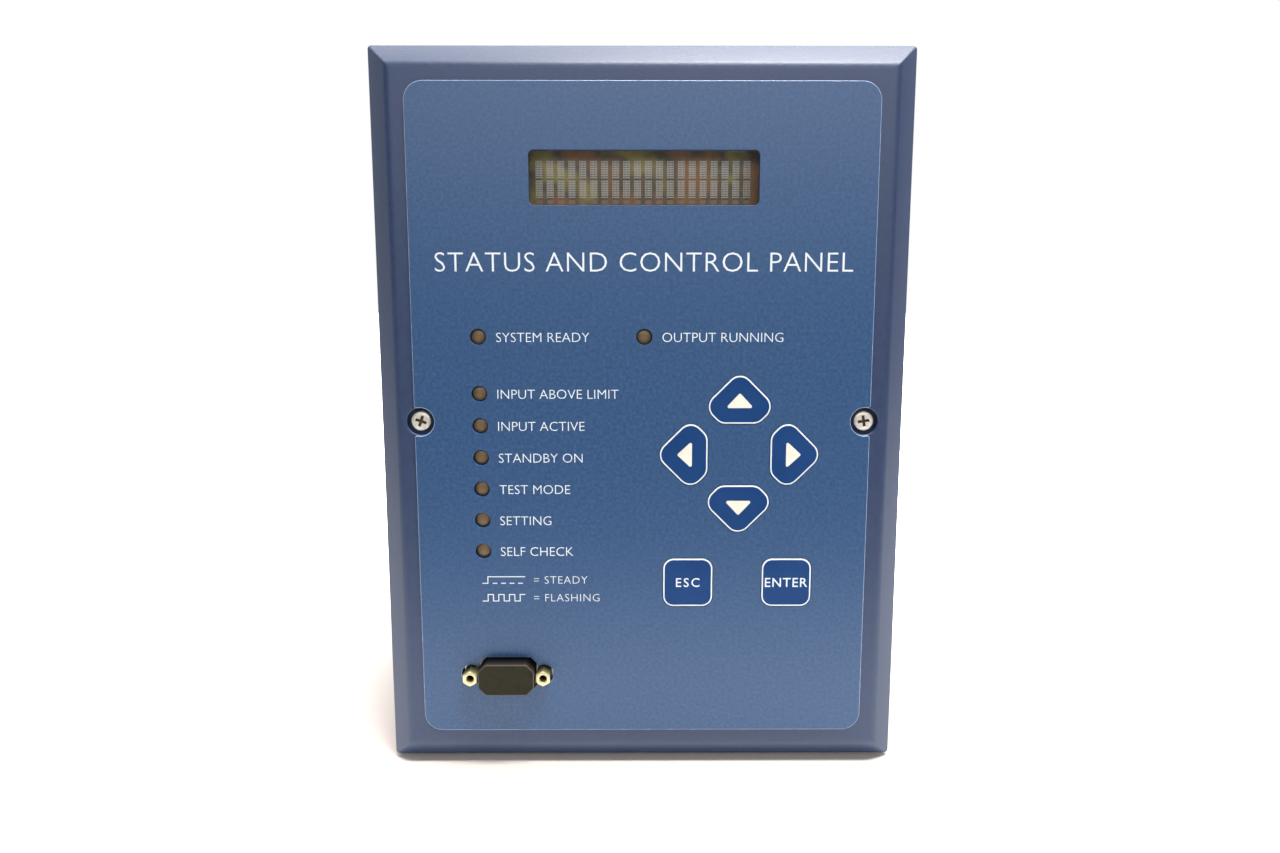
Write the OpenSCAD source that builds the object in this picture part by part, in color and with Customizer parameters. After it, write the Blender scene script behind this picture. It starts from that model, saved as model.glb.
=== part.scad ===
// Panel-mounted protection relay with a keypad front, a serial port and a sheet-metal chassis.
// X runs to the right, Z runs up and Y runs into the panel. Y = 0 is the panel's front surface.

/* [Bezel] */
// Width of the bezel
bezel_w = 176; // [170:1:190]
// Height of the bezel
bezel_h = 241.5; // [236:0.5:260]
// Thickness of the bezel from its seat to its front face
bezel_t = 11; // [10:0.5:14]
// Width of the chamfer round the front
bezel_chamfer = 6.7; // [4:0.1:8]
// Depth of the chamfer round the front
bezel_chamfer_depth = 5.4; // [4:0.1:8]
// Rounding of the two edges beside the chamfer
bezel_edge_r = 1.2; // [0.8:0.1:2.4]
// Thickness of the bezel's front wall
bezel_wall = 3; // [2.5:0.1:4]
// Rounding of the bezel's four corners
bezel_corner_r = 1.2; // [0.5:0.1:3]
// Width of the flange that overlaps the panel
flange_w = 9; // [8:0.5:10]
// Width of the rim between the chassis line and the bezel's pocket
seat_w = 2.5; // [2:0.1:3]

/* [Panel gasket] */
// Thickness of the gasket
gasket_t = 1.5; // [1:0.1:3]
// Distance of the gasket from the bezel's edge
gasket_inset = 1; // [0.5:0.1:2]
// Gap between the gasket and the chassis
gasket_gap = 0.5; // [0.3:0.1:1]

/* [Overlay] */
// Bare rim of the bezel beside the overlay, inside the chamfer
overlay_rim_x = 5.5; // [4:0.1:6]
// Bare rim of the bezel above and below the overlay, inside the chamfer
overlay_rim_z = 5.15; // [4:0.05:6]
// Thickness of the overlay sheet
overlay_t = 0.75; // [0.4:0.05:1.2]
// Corner radius of the overlay sheet
overlay_r = 6.1; // [3:0.1:10]
// Radius of the notch round each front screw
notch_r = 4.8; // [4:0.1:6]

/* [Front screws] */
// Distance of the front screws from the chassis side
screw_inset = 5; // [4:0.1:6]
// Thread diameter of the front screws
front_screw_d = 4; // [3:0.5:5]
// Head diameter of the front screws
front_head_d = 6.4; // [6:0.1:8]
// Head height of the front screws
front_head_h = 2.4; // [2:0.1:3]
// Diameter of the recess round the screw head
recess_d = 9; // [8.5:0.1:9.5]
// Depth of the recess below the bezel's face
recess_depth = 3.2; // [2.5:0.1:4]

/* [Display] */
// Width of the display opening
window_w = 74.1; // [60:0.1:80]
// Height of the display opening
window_h = 17.3; // [14:0.1:20]
// Corner radius of the display opening
window_r = 1.8; // [1:0.1:3]
// Centre of the display opening to the right of the bezel's centre
window_x = 0.45; // [-3:0.05:3]
// Centre of the display opening below the bezel's top edge
window_drop = 41.7; // [40:0.1:43.5]
// Thickness of the clear pane
pane_t = 1.5; // [1:0.1:2]
// Overlap of the pane behind the opening
pane_lap = 3; // [2:0.1:3.5]
// Width of the display tube
tube_w = 92; // [86:1:94]
// Height of the display tube
tube_h = 24; // [22:0.5:26]
// Depth of the display tube
tube_d = 7.5; // [6:0.1:9]
// Distance of the tube's glass behind the overlay's face
tube_sink = 10; // [9:0.1:11]
// Width of the display's own board
display_board_w = 116; // [112:1:118]
// Height of the display's own board
display_board_h = 37; // [36:0.5:39]

/* [Status lamps] */
// Diameter of the lamp openings
lamp_hole_d = 5.3; // [5.2:0.1:6]
// Diameter of the lamp bodies
lamp_d = 5; // [4:0.1:5]
// Height of a lamp from its board to its tip
lamp_len = 8.7; // [8:0.1:10]
// Distance of a lamp's tip behind the overlay's face
lamp_sink = 0.95; // [0.5:0.05:1.5]
// Lamp column's distance from the bezel's left edge
lamp_inset = 34; // [33:0.1:36]
// Height of the two upper lamps
lamp_top_z = 28.2; // [24:0.1:32]
// Place of the second upper lamp along X
lamp_second_x = 0.55; // [-5:0.05:5]
// Height of the first lamp in the column
lamp_column_z = 9.4; // [7:0.1:11]
// Spacing of the lamps in the column
lamp_pitch = 10.75; // [9:0.05:11]
// Number of lamps in the column
lamp_count = 6; // [4:1:6]

/* [Keys] */
// Centre of the arrow keys from the bezel's right edge
arrows_inset = 55.75; // [55:0.05:56.5]
// Centre of the arrow keys below the bezel's centre
arrows_drop = 11.1; // [10:0.1:12]
// Distance of each arrow key from the centre of the four
arrow_reach = 18.5; // [18:0.1:19]
// Width of an arrow key across its direction
arrow_w = 20.6; // [19:0.1:21]
// Height of an arrow key along its direction
arrow_h = 16; // [15:0.1:16.5]
// Corner radius of an arrow key
arrow_r = 4.4; // [3:0.1:5]
// Side of the two square keys
command_side = 16.75; // [14:0.05:18]
// Corner radius of the two square keys
command_r = 3.5; // [2:0.1:5]
// Spacing of the two square keys
command_pitch = 33.6; // [30:0.1:36]
// Centre of the two square keys below the bezel's centre
command_drop = 55.4; // [54:0.1:58]
// Gap round each key
key_gap = 0.2; // [0.15:0.05:0.4]
// Gap between a key's flange and the wall that stops it
key_stop_gap = 0.1; // [0.05:0.05:0.2]
// How far a key stands out of the overlay
key_proud = 0.2; // [0:0.05:0.5]
// Width of a key's holding flange
key_flange_w = 1.1; // [0.6:0.1:1.2]
// Thickness of a key's holding flange
key_flange_t = 1; // [0.6:0.1:1.2]
// Wall of the hollow keys
key_wall = 1.4; // [1:0.1:2]
// Travel of a key
key_travel = 0.5; // [0.3:0.1:0.8]

/* [Switches] */
// Side of a key switch
switch_side = 6; // [5:0.1:7]
// Height of a key switch
switch_h = 3.4; // [3:0.1:3.6]
// Diameter of the key's stem
stem_d = 3.3; // [2.5:0.1:3.5]
// Gap round the stem in its switch
stem_gap = 0.15; // [0.1:0.05:0.3]
// Depth that the stem reaches into its switch
stem_reach = 1; // [0.6:0.1:1.2]

/* [Serial port] */
// Centre of the port from the bezel's left edge
port_inset = 41.4; // [40:0.1:44]
// Centre of the port above the bezel's bottom edge
port_rise = 32.35; // [30:0.05:35]
// Spacing of the two jackscrews
jack_pitch = 24.99; // [24.5:0.01:25.5]
// Width across flats of a jackscrew
jack_flats = 4.75; // [4.5:0.05:5]
// Length of a jackscrew's hexagon
jack_len = 7.9; // [7:0.1:9]
// Thread diameter of a jackscrew
jack_thread_d = 2.8; // [2.5:0.1:3]
// Width of the port's middle opening
port_open_w = 20.6; // [20:0.1:21]
// Height of the port's middle opening
port_open_h = 12.4; // [12:0.1:13]
// Radius of the opening round each jackscrew
port_lobe_r = 3.6; // [3.2:0.1:4]
// Width of the connector's shell
shell_w = 16.3; // [16:0.1:16.6]
// Height of the connector's shell
shell_h = 7.9; // [7.6:0.1:8.2]
// Length of the connector's shell in front of its flange
shell_len = 5.9; // [5:0.1:6.5]
// Thickness of the shell's metal
shell_t = 0.6; // [0.4:0.1:0.8]
// Width of the dust cap
cap_w = 19.2; // [18.6:0.1:19.4]
// Height of the dust cap
cap_h = 11; // [10.4:0.1:11.2]
// How far the cap stands out of the overlay
cap_proud = 5.3; // [4.5:0.1:6.5]
// Gap between the cap and the shell
cap_gap = 0.15; // [0.1:0.05:0.3]

/* [Chassis] */
// Depth of the chassis behind the panel's front surface
chassis_d = 125; // [115:1:150]
// Thickness of the chassis sheet
sheet_t = 1.2; // [1:0.1:1.6]
// Outer radius of the chassis bends
bend_r = 2.4; // [2:0.1:4]
// Width of the chassis lips
lip_w = 12; // [10:0.5:14]
// Thread diameter of the chassis screws
sheet_screw_d = 3; // [2.5:0.1:3.5]
// Radius of the mounting bracket holes in the chassis sides
bracket_hole_r = 2.2; // [1.8:0.1:2.8]
// Spacing of the mounting bracket holes
bracket_pitch = 140; // [120:1:150]
// Distance of the mounting bracket holes behind the panel's front surface
bracket_y = 16; // [12:0.5:18]

/* [Boards] */
// Thickness of every circuit board
board_t = 1.6; // [1:0.1:2]
// Length of the standoffs between the chassis sides and the boards
standoff_len = 26; // [24:0.5:28]
// Width across flats of the standoffs
standoff_flats = 6; // [5:0.1:7]
// Height of the two inner boards
inner_board_h = 196; // [190:1:204]
// Distance of the inner boards' front edges behind the panel's front surface
inner_board_y = 14; // [12:0.5:18]

/* [Terminals] */
// Number of ways in each plug
plug_ways = 12; // [8:1:12]
// Spacing of the ways in a plug
plug_pitch = 5.08; // [5:0.01:5.2]
// Depth of a plug behind the rear panel
plug_d = 16; // [14:0.5:20]
// Width of a plug
plug_w = 13; // [12:0.5:14]
// Gap between the two plugs of one board
plug_space = 12; // [10:0.5:16]
// Number of ways in the current block
block_ways = 8; // [6:1:8]
// Spacing of the ways in the current block
block_pitch = 8.5; // [8:0.1:8.8]
// Height of the current block
block_h = 22; // [20:0.5:24]
// Depth of the current block behind the rear panel
block_d = 14; // [12:0.5:18]
// Centre of the current block above the chassis floor
block_rise = 24.75; // [22:0.25:28]
// Thread diameter of the ground stud
stud_d = 5; // [4:0.5:6]
// Length of the ground stud behind the rear panel
stud_len = 16; // [14:0.5:20]

/* [Hidden] */
$fn = 48;
cut = 1;
fit_gap = 0.1;
thread_gap = 0.05;
hole_gap = 0.2;

// Levels along Y, from the front to the back
bezel_back = -gasket_t;
bezel_front = bezel_back - bezel_t;
overlay_front = bezel_front - overlay_t;
wall_back = bezel_front + bezel_wall;
front_board_y = overlay_front + lamp_sink + lamp_len;
front_board_back = front_board_y + board_t;
tube_front = overlay_front + tube_sink;
display_board_y = tube_front + tube_d;

// Chassis and bezel pocket
chassis_w = bezel_w - 2 * flange_w;
chassis_h = bezel_h - 2 * flange_w;
pocket_w = chassis_w - 2 * seat_w;
pocket_h = chassis_h - 2 * seat_w;
pocket_r = 3;
chassis_inner_x = chassis_w / 2 - sheet_t;
chassis_top = chassis_h / 2 - sheet_t;
rear_in = chassis_d - sheet_t;
front_screw_x = chassis_w / 2 - screw_inset;
boss_wall = 1;
boss_d = recess_d + 2 * boss_wall;

// Overlay, and the places that follow the bezel's edges
overlay_w = bezel_w - 2 * (bezel_chamfer + overlay_rim_x);
overlay_h = bezel_h - 2 * (bezel_chamfer + overlay_rim_z);
window_z = bezel_h / 2 - window_drop;
lamp_x = bezel_w / 2 - lamp_inset;
arrows_x = bezel_w / 2 - arrows_inset;
arrows_z = -arrows_drop;
command_z = -command_drop;
port_x = bezel_w / 2 - port_inset;
port_z = port_rise - bezel_h / 2;

// Front board, held on bosses behind the bezel's wall
front_board_margin = 3;
front_board_w = 2 * (front_screw_x - boss_d / 2 - front_board_margin);
front_board_h = pocket_h - 2 * front_board_margin;
board_boss_d = 7;
board_boss_inset = 4.5;
board_boss_x = front_board_w / 2 - board_boss_inset;
board_boss_z = front_board_h / 2 - board_boss_inset;
board_boss_mid_z = 44;
board_boss_spots = [for (sx = [-1, 1], z = [-board_boss_z, board_boss_mid_z, board_boss_z])
    [sx * board_boss_x, z]];
board_screw_d = 2.5;
board_head_d = 4.6;
board_head_h = 1.6;
board_screw_len = 5;

// Display board, held on standoffs behind the front board
tube_margin = 1;
tube_glass_t = 2.4;
tube_seal_in = 0.8;
display_hole_inset = 4;
display_spots = [for (sx = [-1, 1], sz = [-1, 1])
    [window_x + sx * (display_board_w / 2 - display_hole_inset),
     window_z + sz * (display_board_h / 2 - display_hole_inset)]];
display_post_d = 5;

// Lamps
lamp_rim_w = 0.4;
lamp_rim_d = lamp_d + 2 * lamp_rim_w;
lamp_rim_t = 1;
lamp_spots = concat(
    [[-lamp_x, lamp_top_z], [lamp_second_x, lamp_top_z]],
    [for (i = [0 : lamp_count - 1]) [-lamp_x, lamp_column_z - i * lamp_pitch]]);

// Corner centres of the rounded key outlines, counter-clockwise
arrow_tip = arrow_h / 2 - arrow_r;
arrow_side = arrow_w / 2 - arrow_r;
arrow_shoulder = arrow_tip - arrow_side;
arrow_foot = arrow_side - (arrow_shoulder + arrow_tip);
arrow_corners = [[0, arrow_tip], [-arrow_side, arrow_shoulder], [-arrow_foot, -arrow_tip],
    [arrow_foot, -arrow_tip], [arrow_side, arrow_shoulder]];
command_corners = rectangle(command_side, command_side, command_r);

// Each key: place along X and Z, turn, corner centres and corner radius
key_up_at = [arrows_x, arrows_z + arrow_reach, 0, arrow_corners, arrow_r];
key_down_at = [arrows_x, arrows_z - arrow_reach, 180, arrow_corners, arrow_r];
key_left_at = [arrows_x - arrow_reach, arrows_z, 90, arrow_corners, arrow_r];
key_right_at = [arrows_x + arrow_reach, arrows_z, -90, arrow_corners, arrow_r];
key_escape_at = [arrows_x - command_pitch / 2, command_z, 0, command_corners, command_r];
key_enter_at = [arrows_x + command_pitch / 2, command_z, 0, command_corners, command_r];
keys = [key_up_at, key_down_at, key_left_at, key_right_at, key_escape_at, key_enter_at];
switch_front = front_board_y - switch_h;
key_flange_front = wall_back + key_stop_gap;
key_flange_back = key_flange_front + key_flange_t;

// Serial port
flange_plate_t = 0.9;
flange_plate_h = 12.5;
flange_plate_end = 3;
flange_plate_w = jack_pitch + 2 * flange_plate_end;
flange_plate_back = wall_back + flange_plate_t;
shell_front = wall_back - shell_len;
shell_r = 2;
shell_taper = 1.2;
insert_sink = 0.3;
pin_d = 1.1;
pin_pitch = 2.77;
pin_row_z = 1.42;
pin_depth = 4;
open_chamfer = 2.4;
open_r = 0.8;
cap_chamfer = 2.6;
cap_r = 1.2;
cap_edge = 0.8;
cap_front = overlay_front - cap_proud;
cap_clear = 0.6;
cap_back = wall_back - cap_clear;
jack_front = wall_back - jack_len;
jack_bore_wall = 0.2;
jack_bore_d = jack_thread_d - 2 * jack_bore_wall;
jack_turn = 30;
jack_bore_depth = 6;
jack_shank_len = 4;

// Inner boards and what stands on them
board_out = chassis_inner_x - standoff_len;
board_in = board_out - board_t;
inner_board_gap = 1;
inner_board_back = rear_in - inner_board_gap;
inner_board_d = inner_board_back - inner_board_y;
inner_hole_inset = 8;
standoff_spots = [for (y = [inner_board_y + inner_hole_inset, inner_board_back - 2 * inner_hole_inset],
    z = [-1, 1]) [y, z * (inner_board_h / 2 - inner_hole_inset)]];
inner_screw_d = 3;
inner_head_d = 5.6;
inner_head_h = 2;
inner_screw_len = 6;

// Parts on the output board: relay boxes, a transformer and round capacitors
relay_count = 5;
relay_size = [15.3, 19, 15.5];
relay_pitch = 18.5;
relay_y = 84;
relay_low_z = -8;
transformer_core = [26, 34, 30];
transformer_coil = [24, 20, 36];
transformer_at = [38, -66];
capacitor_d = 16;
capacitor_len = 25;
capacitor_count = 3;
capacitor_pitch = 19;
capacitor_at = [72, -82];

// Parts on the main board: current transformers, chips and a coin cell
ct_count = 4;
ct_size = [20, 24, 22];
ct_pitch = 25;
ct_low_z = -26;
ct_y = 84;
ct_coil_d = 18;
ct_coil_extra = 1.5;
chip_size = [2.6, 26, 26];
chip_spots = [[34, 58], [66, 80], [34, 22]];
cell_d = 20;
cell_t = 3.2;
cell_seat_t = 2.2;
cell_at = [40, -70];

// Ribbon from the front board to the main board
ribbon_t = 0.9;
ribbon_w = 34;
ribbon_z = -28;
ribbon_x = 12;
ribbon_r = 14;
socket_w = 38;
socket_thick = 8;
socket_len = 9;
ribbon_y = front_board_back + socket_len;
ribbon_turn_y = 34;
ribbon_end_x = board_in - socket_len;

// Terminals
plug_end = 1;
plug_len = plug_ways * plug_pitch + 2 * plug_end;
plug_at = plug_len / 2 + plug_space / 2;
plug_mid_z = 22;
plug_spots = [plug_mid_z - plug_at, plug_mid_z + plug_at];
plug_in = board_in - plug_w;
header_d = 12;
header_lap = 1.2;
wire_hole = 3.2;
plug_screw_d = 3.6;
plug_screw_t = 1.6;
plug_screw_at = 9;
slot_w = 0.8;
slot_depth = 0.7;
block_end = 3;
block_w = block_ways * block_pitch + 2 * block_end;
block_z = block_rise - chassis_h / 2;
block_inner_d = 10;
block_flange = 2;
block_screw_d = 6;
block_screw_sink = 3;
block_screw_t = 3;
block_entry = 3.4;
stud_side_inset = 17;
stud_low_inset = 13.75;
stud_at = [stud_side_inset - chassis_w / 2, stud_low_inset - chassis_h / 2];
stud_head_d = 9;
stud_head_t = 2;
nut_flats = 8;
nut_t = 4;
clinch_d = 7.5;
clinch_t = 3;
tab_h = 20;
tab_w = 13;
cover_spots = [for (sx = [-1, 1], y = [lip_w, chassis_d / 2, chassis_d - 2 * lip_w])
    [sx * (chassis_w - lip_w) / 2, y]];
rear_spots = [for (sx = [-1, 1], sz = [-1, 0, 1])
    [sx * (chassis_w - lip_w) / 2, sz * (chassis_h / 2 - 2 * lip_w)]];
sheet_head_d = 5.8;
sheet_head_h = 2;
sheet_screw_len = 6;
cross_w = 0.9;
cross_share = 0.62;
cross_depth = 1.2;

// Corner centres of a rectangle whose corners are rounded by r, counter-clockwise
function rectangle(w, h, r) = [[-w / 2 + r, -h / 2 + r], [w / 2 - r, -h / 2 + r],
    [w / 2 - r, h / 2 - r], [-w / 2 + r, h / 2 - r]];

// Corner centres of a rectangle with cut corners, each of them rounded by r
function octagon(w, h, c, r) = let (x = w / 2 - r, z = h / 2 - r, k = c - r * (2 - sqrt(2)))
    [[-x + k, -z], [x - k, -z], [x, -z + k], [x, z - k],
     [x - k, z], [-x + k, z], [-x, z - k], [-x, -z + k]];

// Corner centres of a plate's section whose front edges are cut cw wide and cd deep, each rounded by r
function chamfered(w, t, cw, cd, r) = let (slope = atan2(cd, cw), side_x = w / 2 - r,
    front_x = w / 2 - cw - r * tan(slope / 2), side_y = cd - t + r * tan(45 - slope / 2))
    [[-front_x, r - t], [front_x, r - t], [side_x, side_y], [side_x, r], [-side_x, r], [-side_x, side_y]];

// Outward direction of the edge from a to b on a counter-clockwise outline
function outward(a, b) = let (d = b - a) [d[1], -d[0]] / norm(d);

// Outline round corner centres, with each corner rounded by r
module rounded(corners, r) {
    n = len(corners);
    polygon([for (i = [0 : n - 1])
        let (before = corners[(i + n - 1) % n], at = corners[i], after = corners[(i + 1) % n])
        each [at + r * outward(before, at), at + r * outward(at, after)]]);
    for (at = corners) translate(at) circle(r);
}

// Extrudes an outline drawn in X and Z from y0 to y1
module along_y(y0, y1) {
    translate([0, y1, 0]) rotate([90, 0, 0]) linear_extrude(y1 - y0) children();
}

// Round or many-sided bar along Y
module bar_y(x, z, d, y0, y1, sides = 48, turn = 0) {
    translate([x, y0, z]) rotate([-90, 0, 0]) rotate(turn) cylinder(d = d, h = y1 - y0, $fn = sides);
}

// Round bar along X
module bar_x(y, z, d, x0, x1, sides = 48) {
    translate([x0, y, z]) rotate([0, 90, 0]) cylinder(d = d, h = x1 - x0, $fn = sides);
}

// Box from its low corner to its high corner
module block(low, high) {
    translate(low) cube(high - low);
}

// Screw with its head's seat at the origin, the head up and the shank down
module screw(head_d, head_h, shank_d, shank_len) {
    difference() {
        union() {
            cylinder(d = head_d, h = head_h);
            translate([0, 0, -shank_len])
                cylinder(d = shank_d - 2 * thread_gap, h = shank_len + head_h / 2);
        }
        for (turn = [0, 90]) rotate(turn)
            translate([-head_d * cross_share / 2, -cross_w / 2, head_h - cross_depth])
                cube([head_d * cross_share, cross_w, cross_depth + cut]);
    }
}

// Screw with a domed head, for the front of the bezel
module dome_screw(head_d, head_h, shank_d, shank_len) {
    rim_h = head_h / 2;
    crown_r = (pow(head_d / 2, 2) + pow(head_h - rim_h, 2)) / (2 * (head_h - rim_h));
    difference() {
        union() {
            intersection() {
                cylinder(d = head_d, h = head_h);
                translate([0, 0, head_h - crown_r]) sphere(crown_r);
            }
            translate([0, 0, -shank_len])
                cylinder(d = shank_d - 2 * thread_gap, h = shank_len + rim_h / 2);
        }
        for (turn = [0, 90]) rotate(turn)
            translate([-head_d * cross_share / 2, -cross_w / 2, head_h - cross_depth])
                cube([head_d * cross_share, cross_w, cross_depth + cut]);
    }
}

// D outline, wider at the top and grown on every side
module d_outline(grow) {
    half_w = shell_w / 2 + grow;
    half_h = shell_h / 2 + grow;
    intersection() {
        rounded(rectangle(2 * half_w, 2 * half_h, shell_r + grow), shell_r + grow);
        polygon([[-half_w + shell_taper, -half_h - cut], [half_w - shell_taper, -half_h - cut],
            [half_w + shell_taper, half_h + cut], [-half_w - shell_taper, half_h + cut]]);
    }
}

// Outline of a key, grown on every side
module key_outline(at, grow) {
    translate([at[0], at[1]]) rotate(at[2]) rounded(at[3], at[4] + grow);
}

// Outline of the port's opening: a cut-corner middle and a lobe round each jackscrew
module port_outline() {
    translate([-port_x, port_z]) {
        rounded(octagon(port_open_w, port_open_h, open_chamfer, open_r), open_r);
        for (side = [-1, 1]) translate([side * jack_pitch / 2, 0]) circle(port_lobe_r);
    }
}

// Openings that the overlay and the bezel's wall share
module front_openings() {
    translate([window_x, window_z]) rounded(rectangle(window_w, window_h, window_r), window_r);
    for (at = lamp_spots) translate(at) circle(d = lamp_hole_d);
    for (at = keys) key_outline(at, key_gap);
    port_outline();
}

// Chamfered block of the bezel: two extruded profiles that meet at mitred corners
module bezel_block() {
    intersection() {
        linear_extrude(bezel_h + 2 * cut, center = true) translate([0, bezel_back]) bezel_profile(bezel_w);
        rotate([0, -90, 0]) linear_extrude(bezel_w + 2 * cut, center = true)
            translate([0, bezel_back]) bezel_profile(bezel_h);
        along_y(bezel_front, bezel_back)
            rounded(rectangle(bezel_w, bezel_h, bezel_corner_r), bezel_corner_r);
    }
}

// Cross-section of the bezel with the front towards negative Y and a flat back
module bezel_profile(span) {
    intersection() {
        rounded(chamfered(span, bezel_t, bezel_chamfer, bezel_chamfer_depth, bezel_edge_r), bezel_edge_r);
        translate([0, -bezel_t]) square([span + 2 * cut, 2 * bezel_t], center = true);
    }
}

module bezel() {
    color("#39496a") difference() {
        union() {
            difference() {
                bezel_block();
                along_y(wall_back, bezel_back + cut)
                    rounded(rectangle(pocket_w, pocket_h, pocket_r), pocket_r);
            }
            for (side = [-1, 1]) bar_y(side * front_screw_x, 0, boss_d, wall_back, bezel_back);
            for (at = board_boss_spots) bar_y(at[0], at[1], board_boss_d, wall_back, front_board_y);
        }
        along_y(bezel_front - cut, wall_back + cut) front_openings();
        for (side = [-1, 1]) {
            bar_y(side * front_screw_x, 0, recess_d, bezel_front - cut, bezel_front + recess_depth);
            bar_y(side * front_screw_x, 0, front_screw_d + 2 * hole_gap, bezel_front, bezel_back + cut);
        }
        for (at = board_boss_spots)
            bar_y(at[0], at[1], board_screw_d, front_board_y - board_screw_len, front_board_y + cut);
    }
}

module panel_gasket() {
    color("#1c1d1f") along_y(bezel_back, 0) difference() {
        square([bezel_w - 2 * gasket_inset, bezel_h - 2 * gasket_inset], center = true);
        square([chassis_w + 2 * gasket_gap, chassis_h + 2 * gasket_gap], center = true);
    }
}

module front_overlay() {
    color("#4a6794") along_y(overlay_front, bezel_front) difference() {
        rounded(rectangle(overlay_w, overlay_h, overlay_r), overlay_r);
        for (side = [-1, 1]) translate([side * front_screw_x, 0]) circle(notch_r);
        front_openings();
    }
}

module display_window() {
    color("#8fa0b4", 0.4) along_y(wall_back, wall_back + pane_t)
        translate([window_x, window_z])
            rounded(rectangle(window_w + 2 * pane_lap, window_h + 2 * pane_lap, window_r), window_r);
}

module front_board() {
    color("#1f5b3a") along_y(front_board_y, front_board_back) difference() {
        square([front_board_w, front_board_h], center = true);
        translate([window_x, window_z])
            square([tube_w + 2 * tube_margin, tube_h + 2 * tube_margin], center = true);
        for (at = board_boss_spots) translate(at) circle(d = board_screw_d + 2 * hole_gap);
        for (at = display_spots) translate(at) circle(d = board_screw_d + 2 * hole_gap);
    }
}

module front_board_screws() {
    color("silver") for (at = board_boss_spots)
        translate([at[0], front_board_back, at[1]]) rotate([-90, 0, 0])
            screw(board_head_d, board_head_h, board_screw_d, board_t + board_screw_len - cut);
}

module status_lamps() {
    color("#77604d") for (at = lamp_spots)
        translate([at[0], front_board_y, at[1]]) rotate([90, 0, 0]) {
            cylinder(d = lamp_rim_d, h = lamp_rim_t);
            cylinder(d = lamp_d, h = lamp_len - lamp_d / 2);
            translate([0, 0, lamp_len - lamp_d / 2]) intersection() {
                sphere(d = lamp_d);
                translate([0, 0, lamp_d / 2 - cut / 2]) cube([lamp_d, lamp_d, lamp_d + cut], center = true);
            }
        }
}

module key_switches() {
    color("#222326") for (at = keys) difference() {
        translate([at[0] - switch_side / 2, switch_front, at[1] - switch_side / 2])
            cube([switch_side, switch_h, switch_side]);
        bar_y(at[0], at[1], stem_d + 2 * stem_gap, switch_front - cut,
            switch_front + stem_reach + key_travel + stem_gap);
    }
}

// Hollow push key: an embossed pad, a flange that holds it behind the wall and a stem in its switch
module push_key(at) {
    color("#2e4d7e") {
        difference() {
            union() {
                along_y(overlay_front - key_proud, key_flange_back) key_outline(at, 0);
                along_y(key_flange_front, key_flange_back) key_outline(at, key_flange_w);
            }
            along_y(overlay_front + key_wall, key_flange_back + cut) key_outline(at, -key_wall);
        }
        bar_y(at[0], at[1], stem_d, overlay_front + key_wall / 2, switch_front + stem_reach);
    }
}

module key_up() { push_key(key_up_at); }
module key_down() { push_key(key_down_at); }
module key_left() { push_key(key_left_at); }
module key_right() { push_key(key_right_at); }
module key_escape() { push_key(key_escape_at); }
module key_enter() { push_key(key_enter_at); }

// Flat glass envelope: two plates on a seal
module display_tube() {
    color("#20242a") translate([window_x, 0, window_z]) {
        along_y(tube_front, tube_front + tube_glass_t) square([tube_w, tube_h], center = true);
        along_y(tube_front + tube_glass_t, display_board_y - tube_glass_t)
            square([tube_w - 2 * tube_seal_in, tube_h - 2 * tube_seal_in], center = true);
        along_y(display_board_y - tube_glass_t, display_board_y) square([tube_w, tube_h], center = true);
    }
}

module display_board() {
    color("#1f5b3a") along_y(display_board_y, display_board_y + board_t) difference() {
        translate([window_x, window_z]) square([display_board_w, display_board_h], center = true);
        for (at = display_spots) translate(at) circle(d = board_screw_d + 2 * hole_gap);
    }
}

module display_standoffs() {
    color("gainsboro") for (at = display_spots) {
        bar_y(at[0], at[1], display_post_d, front_board_back, display_board_y);
        bar_y(at[0], at[1], board_screw_d, front_board_y - board_t, display_board_y + 2 * board_t);
    }
}

module port_shell() {
    color("silver") difference() {
        union() {
            translate([-port_x, 0, port_z]) {
                along_y(wall_back, flange_plate_back)
                    rounded(rectangle(flange_plate_w, flange_plate_h, shell_taper), shell_taper);
                along_y(shell_front, wall_back + fit_gap) d_outline(0);
            }
        }
        translate([-port_x, 0, port_z]) {
            along_y(shell_front - cut, flange_plate_back + cut) d_outline(-shell_t);
            for (side = [-1, 1])
                bar_y(side * jack_pitch / 2, 0, jack_thread_d + hole_gap,
                    wall_back - cut, flange_plate_back + cut);
        }
    }
}

module port_insert() {
    color("#17181a") translate([-port_x, 0, port_z]) difference() {
        along_y(shell_front + insert_sink, front_board_y) d_outline(-shell_t - thread_gap);
        for (i = [0 : 4])
            bar_y((i - 2) * pin_pitch, pin_row_z, pin_d, shell_front - cut, shell_front + pin_depth, 16);
        for (i = [0 : 3])
            bar_y((i - 1.5) * pin_pitch, -pin_row_z, pin_d, shell_front - cut, shell_front + pin_depth, 16);
    }
}

module port_jackscrews() {
    color("#cfc9a0") for (side = [-1, 1])
        translate([-port_x + side * jack_pitch / 2, 0, port_z]) difference() {
            union() {
                bar_y(0, 0, jack_flats / cos(jack_turn), jack_front, wall_back, 6, jack_turn);
                bar_y(0, 0, jack_thread_d - 2 * thread_gap, wall_back - cut, wall_back + jack_shank_len);
            }
            bar_y(0, 0, jack_bore_d, jack_front - cut, jack_front + jack_bore_depth);
        }
}

module port_cap() {
    corners = octagon(cap_w, cap_h, cap_chamfer, cap_r);
    color("#3b392d") translate([-port_x, 0, port_z]) difference() {
        hull() {
            along_y(cap_front, cap_back) rounded(corners, cap_r - cap_edge, $fn = 16);
            along_y(cap_front + cap_edge, cap_back) rounded(corners, cap_r, $fn = 16);
        }
        along_y(shell_front - cap_gap, cap_back + cut) d_outline(cap_gap);
    }
}

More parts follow.
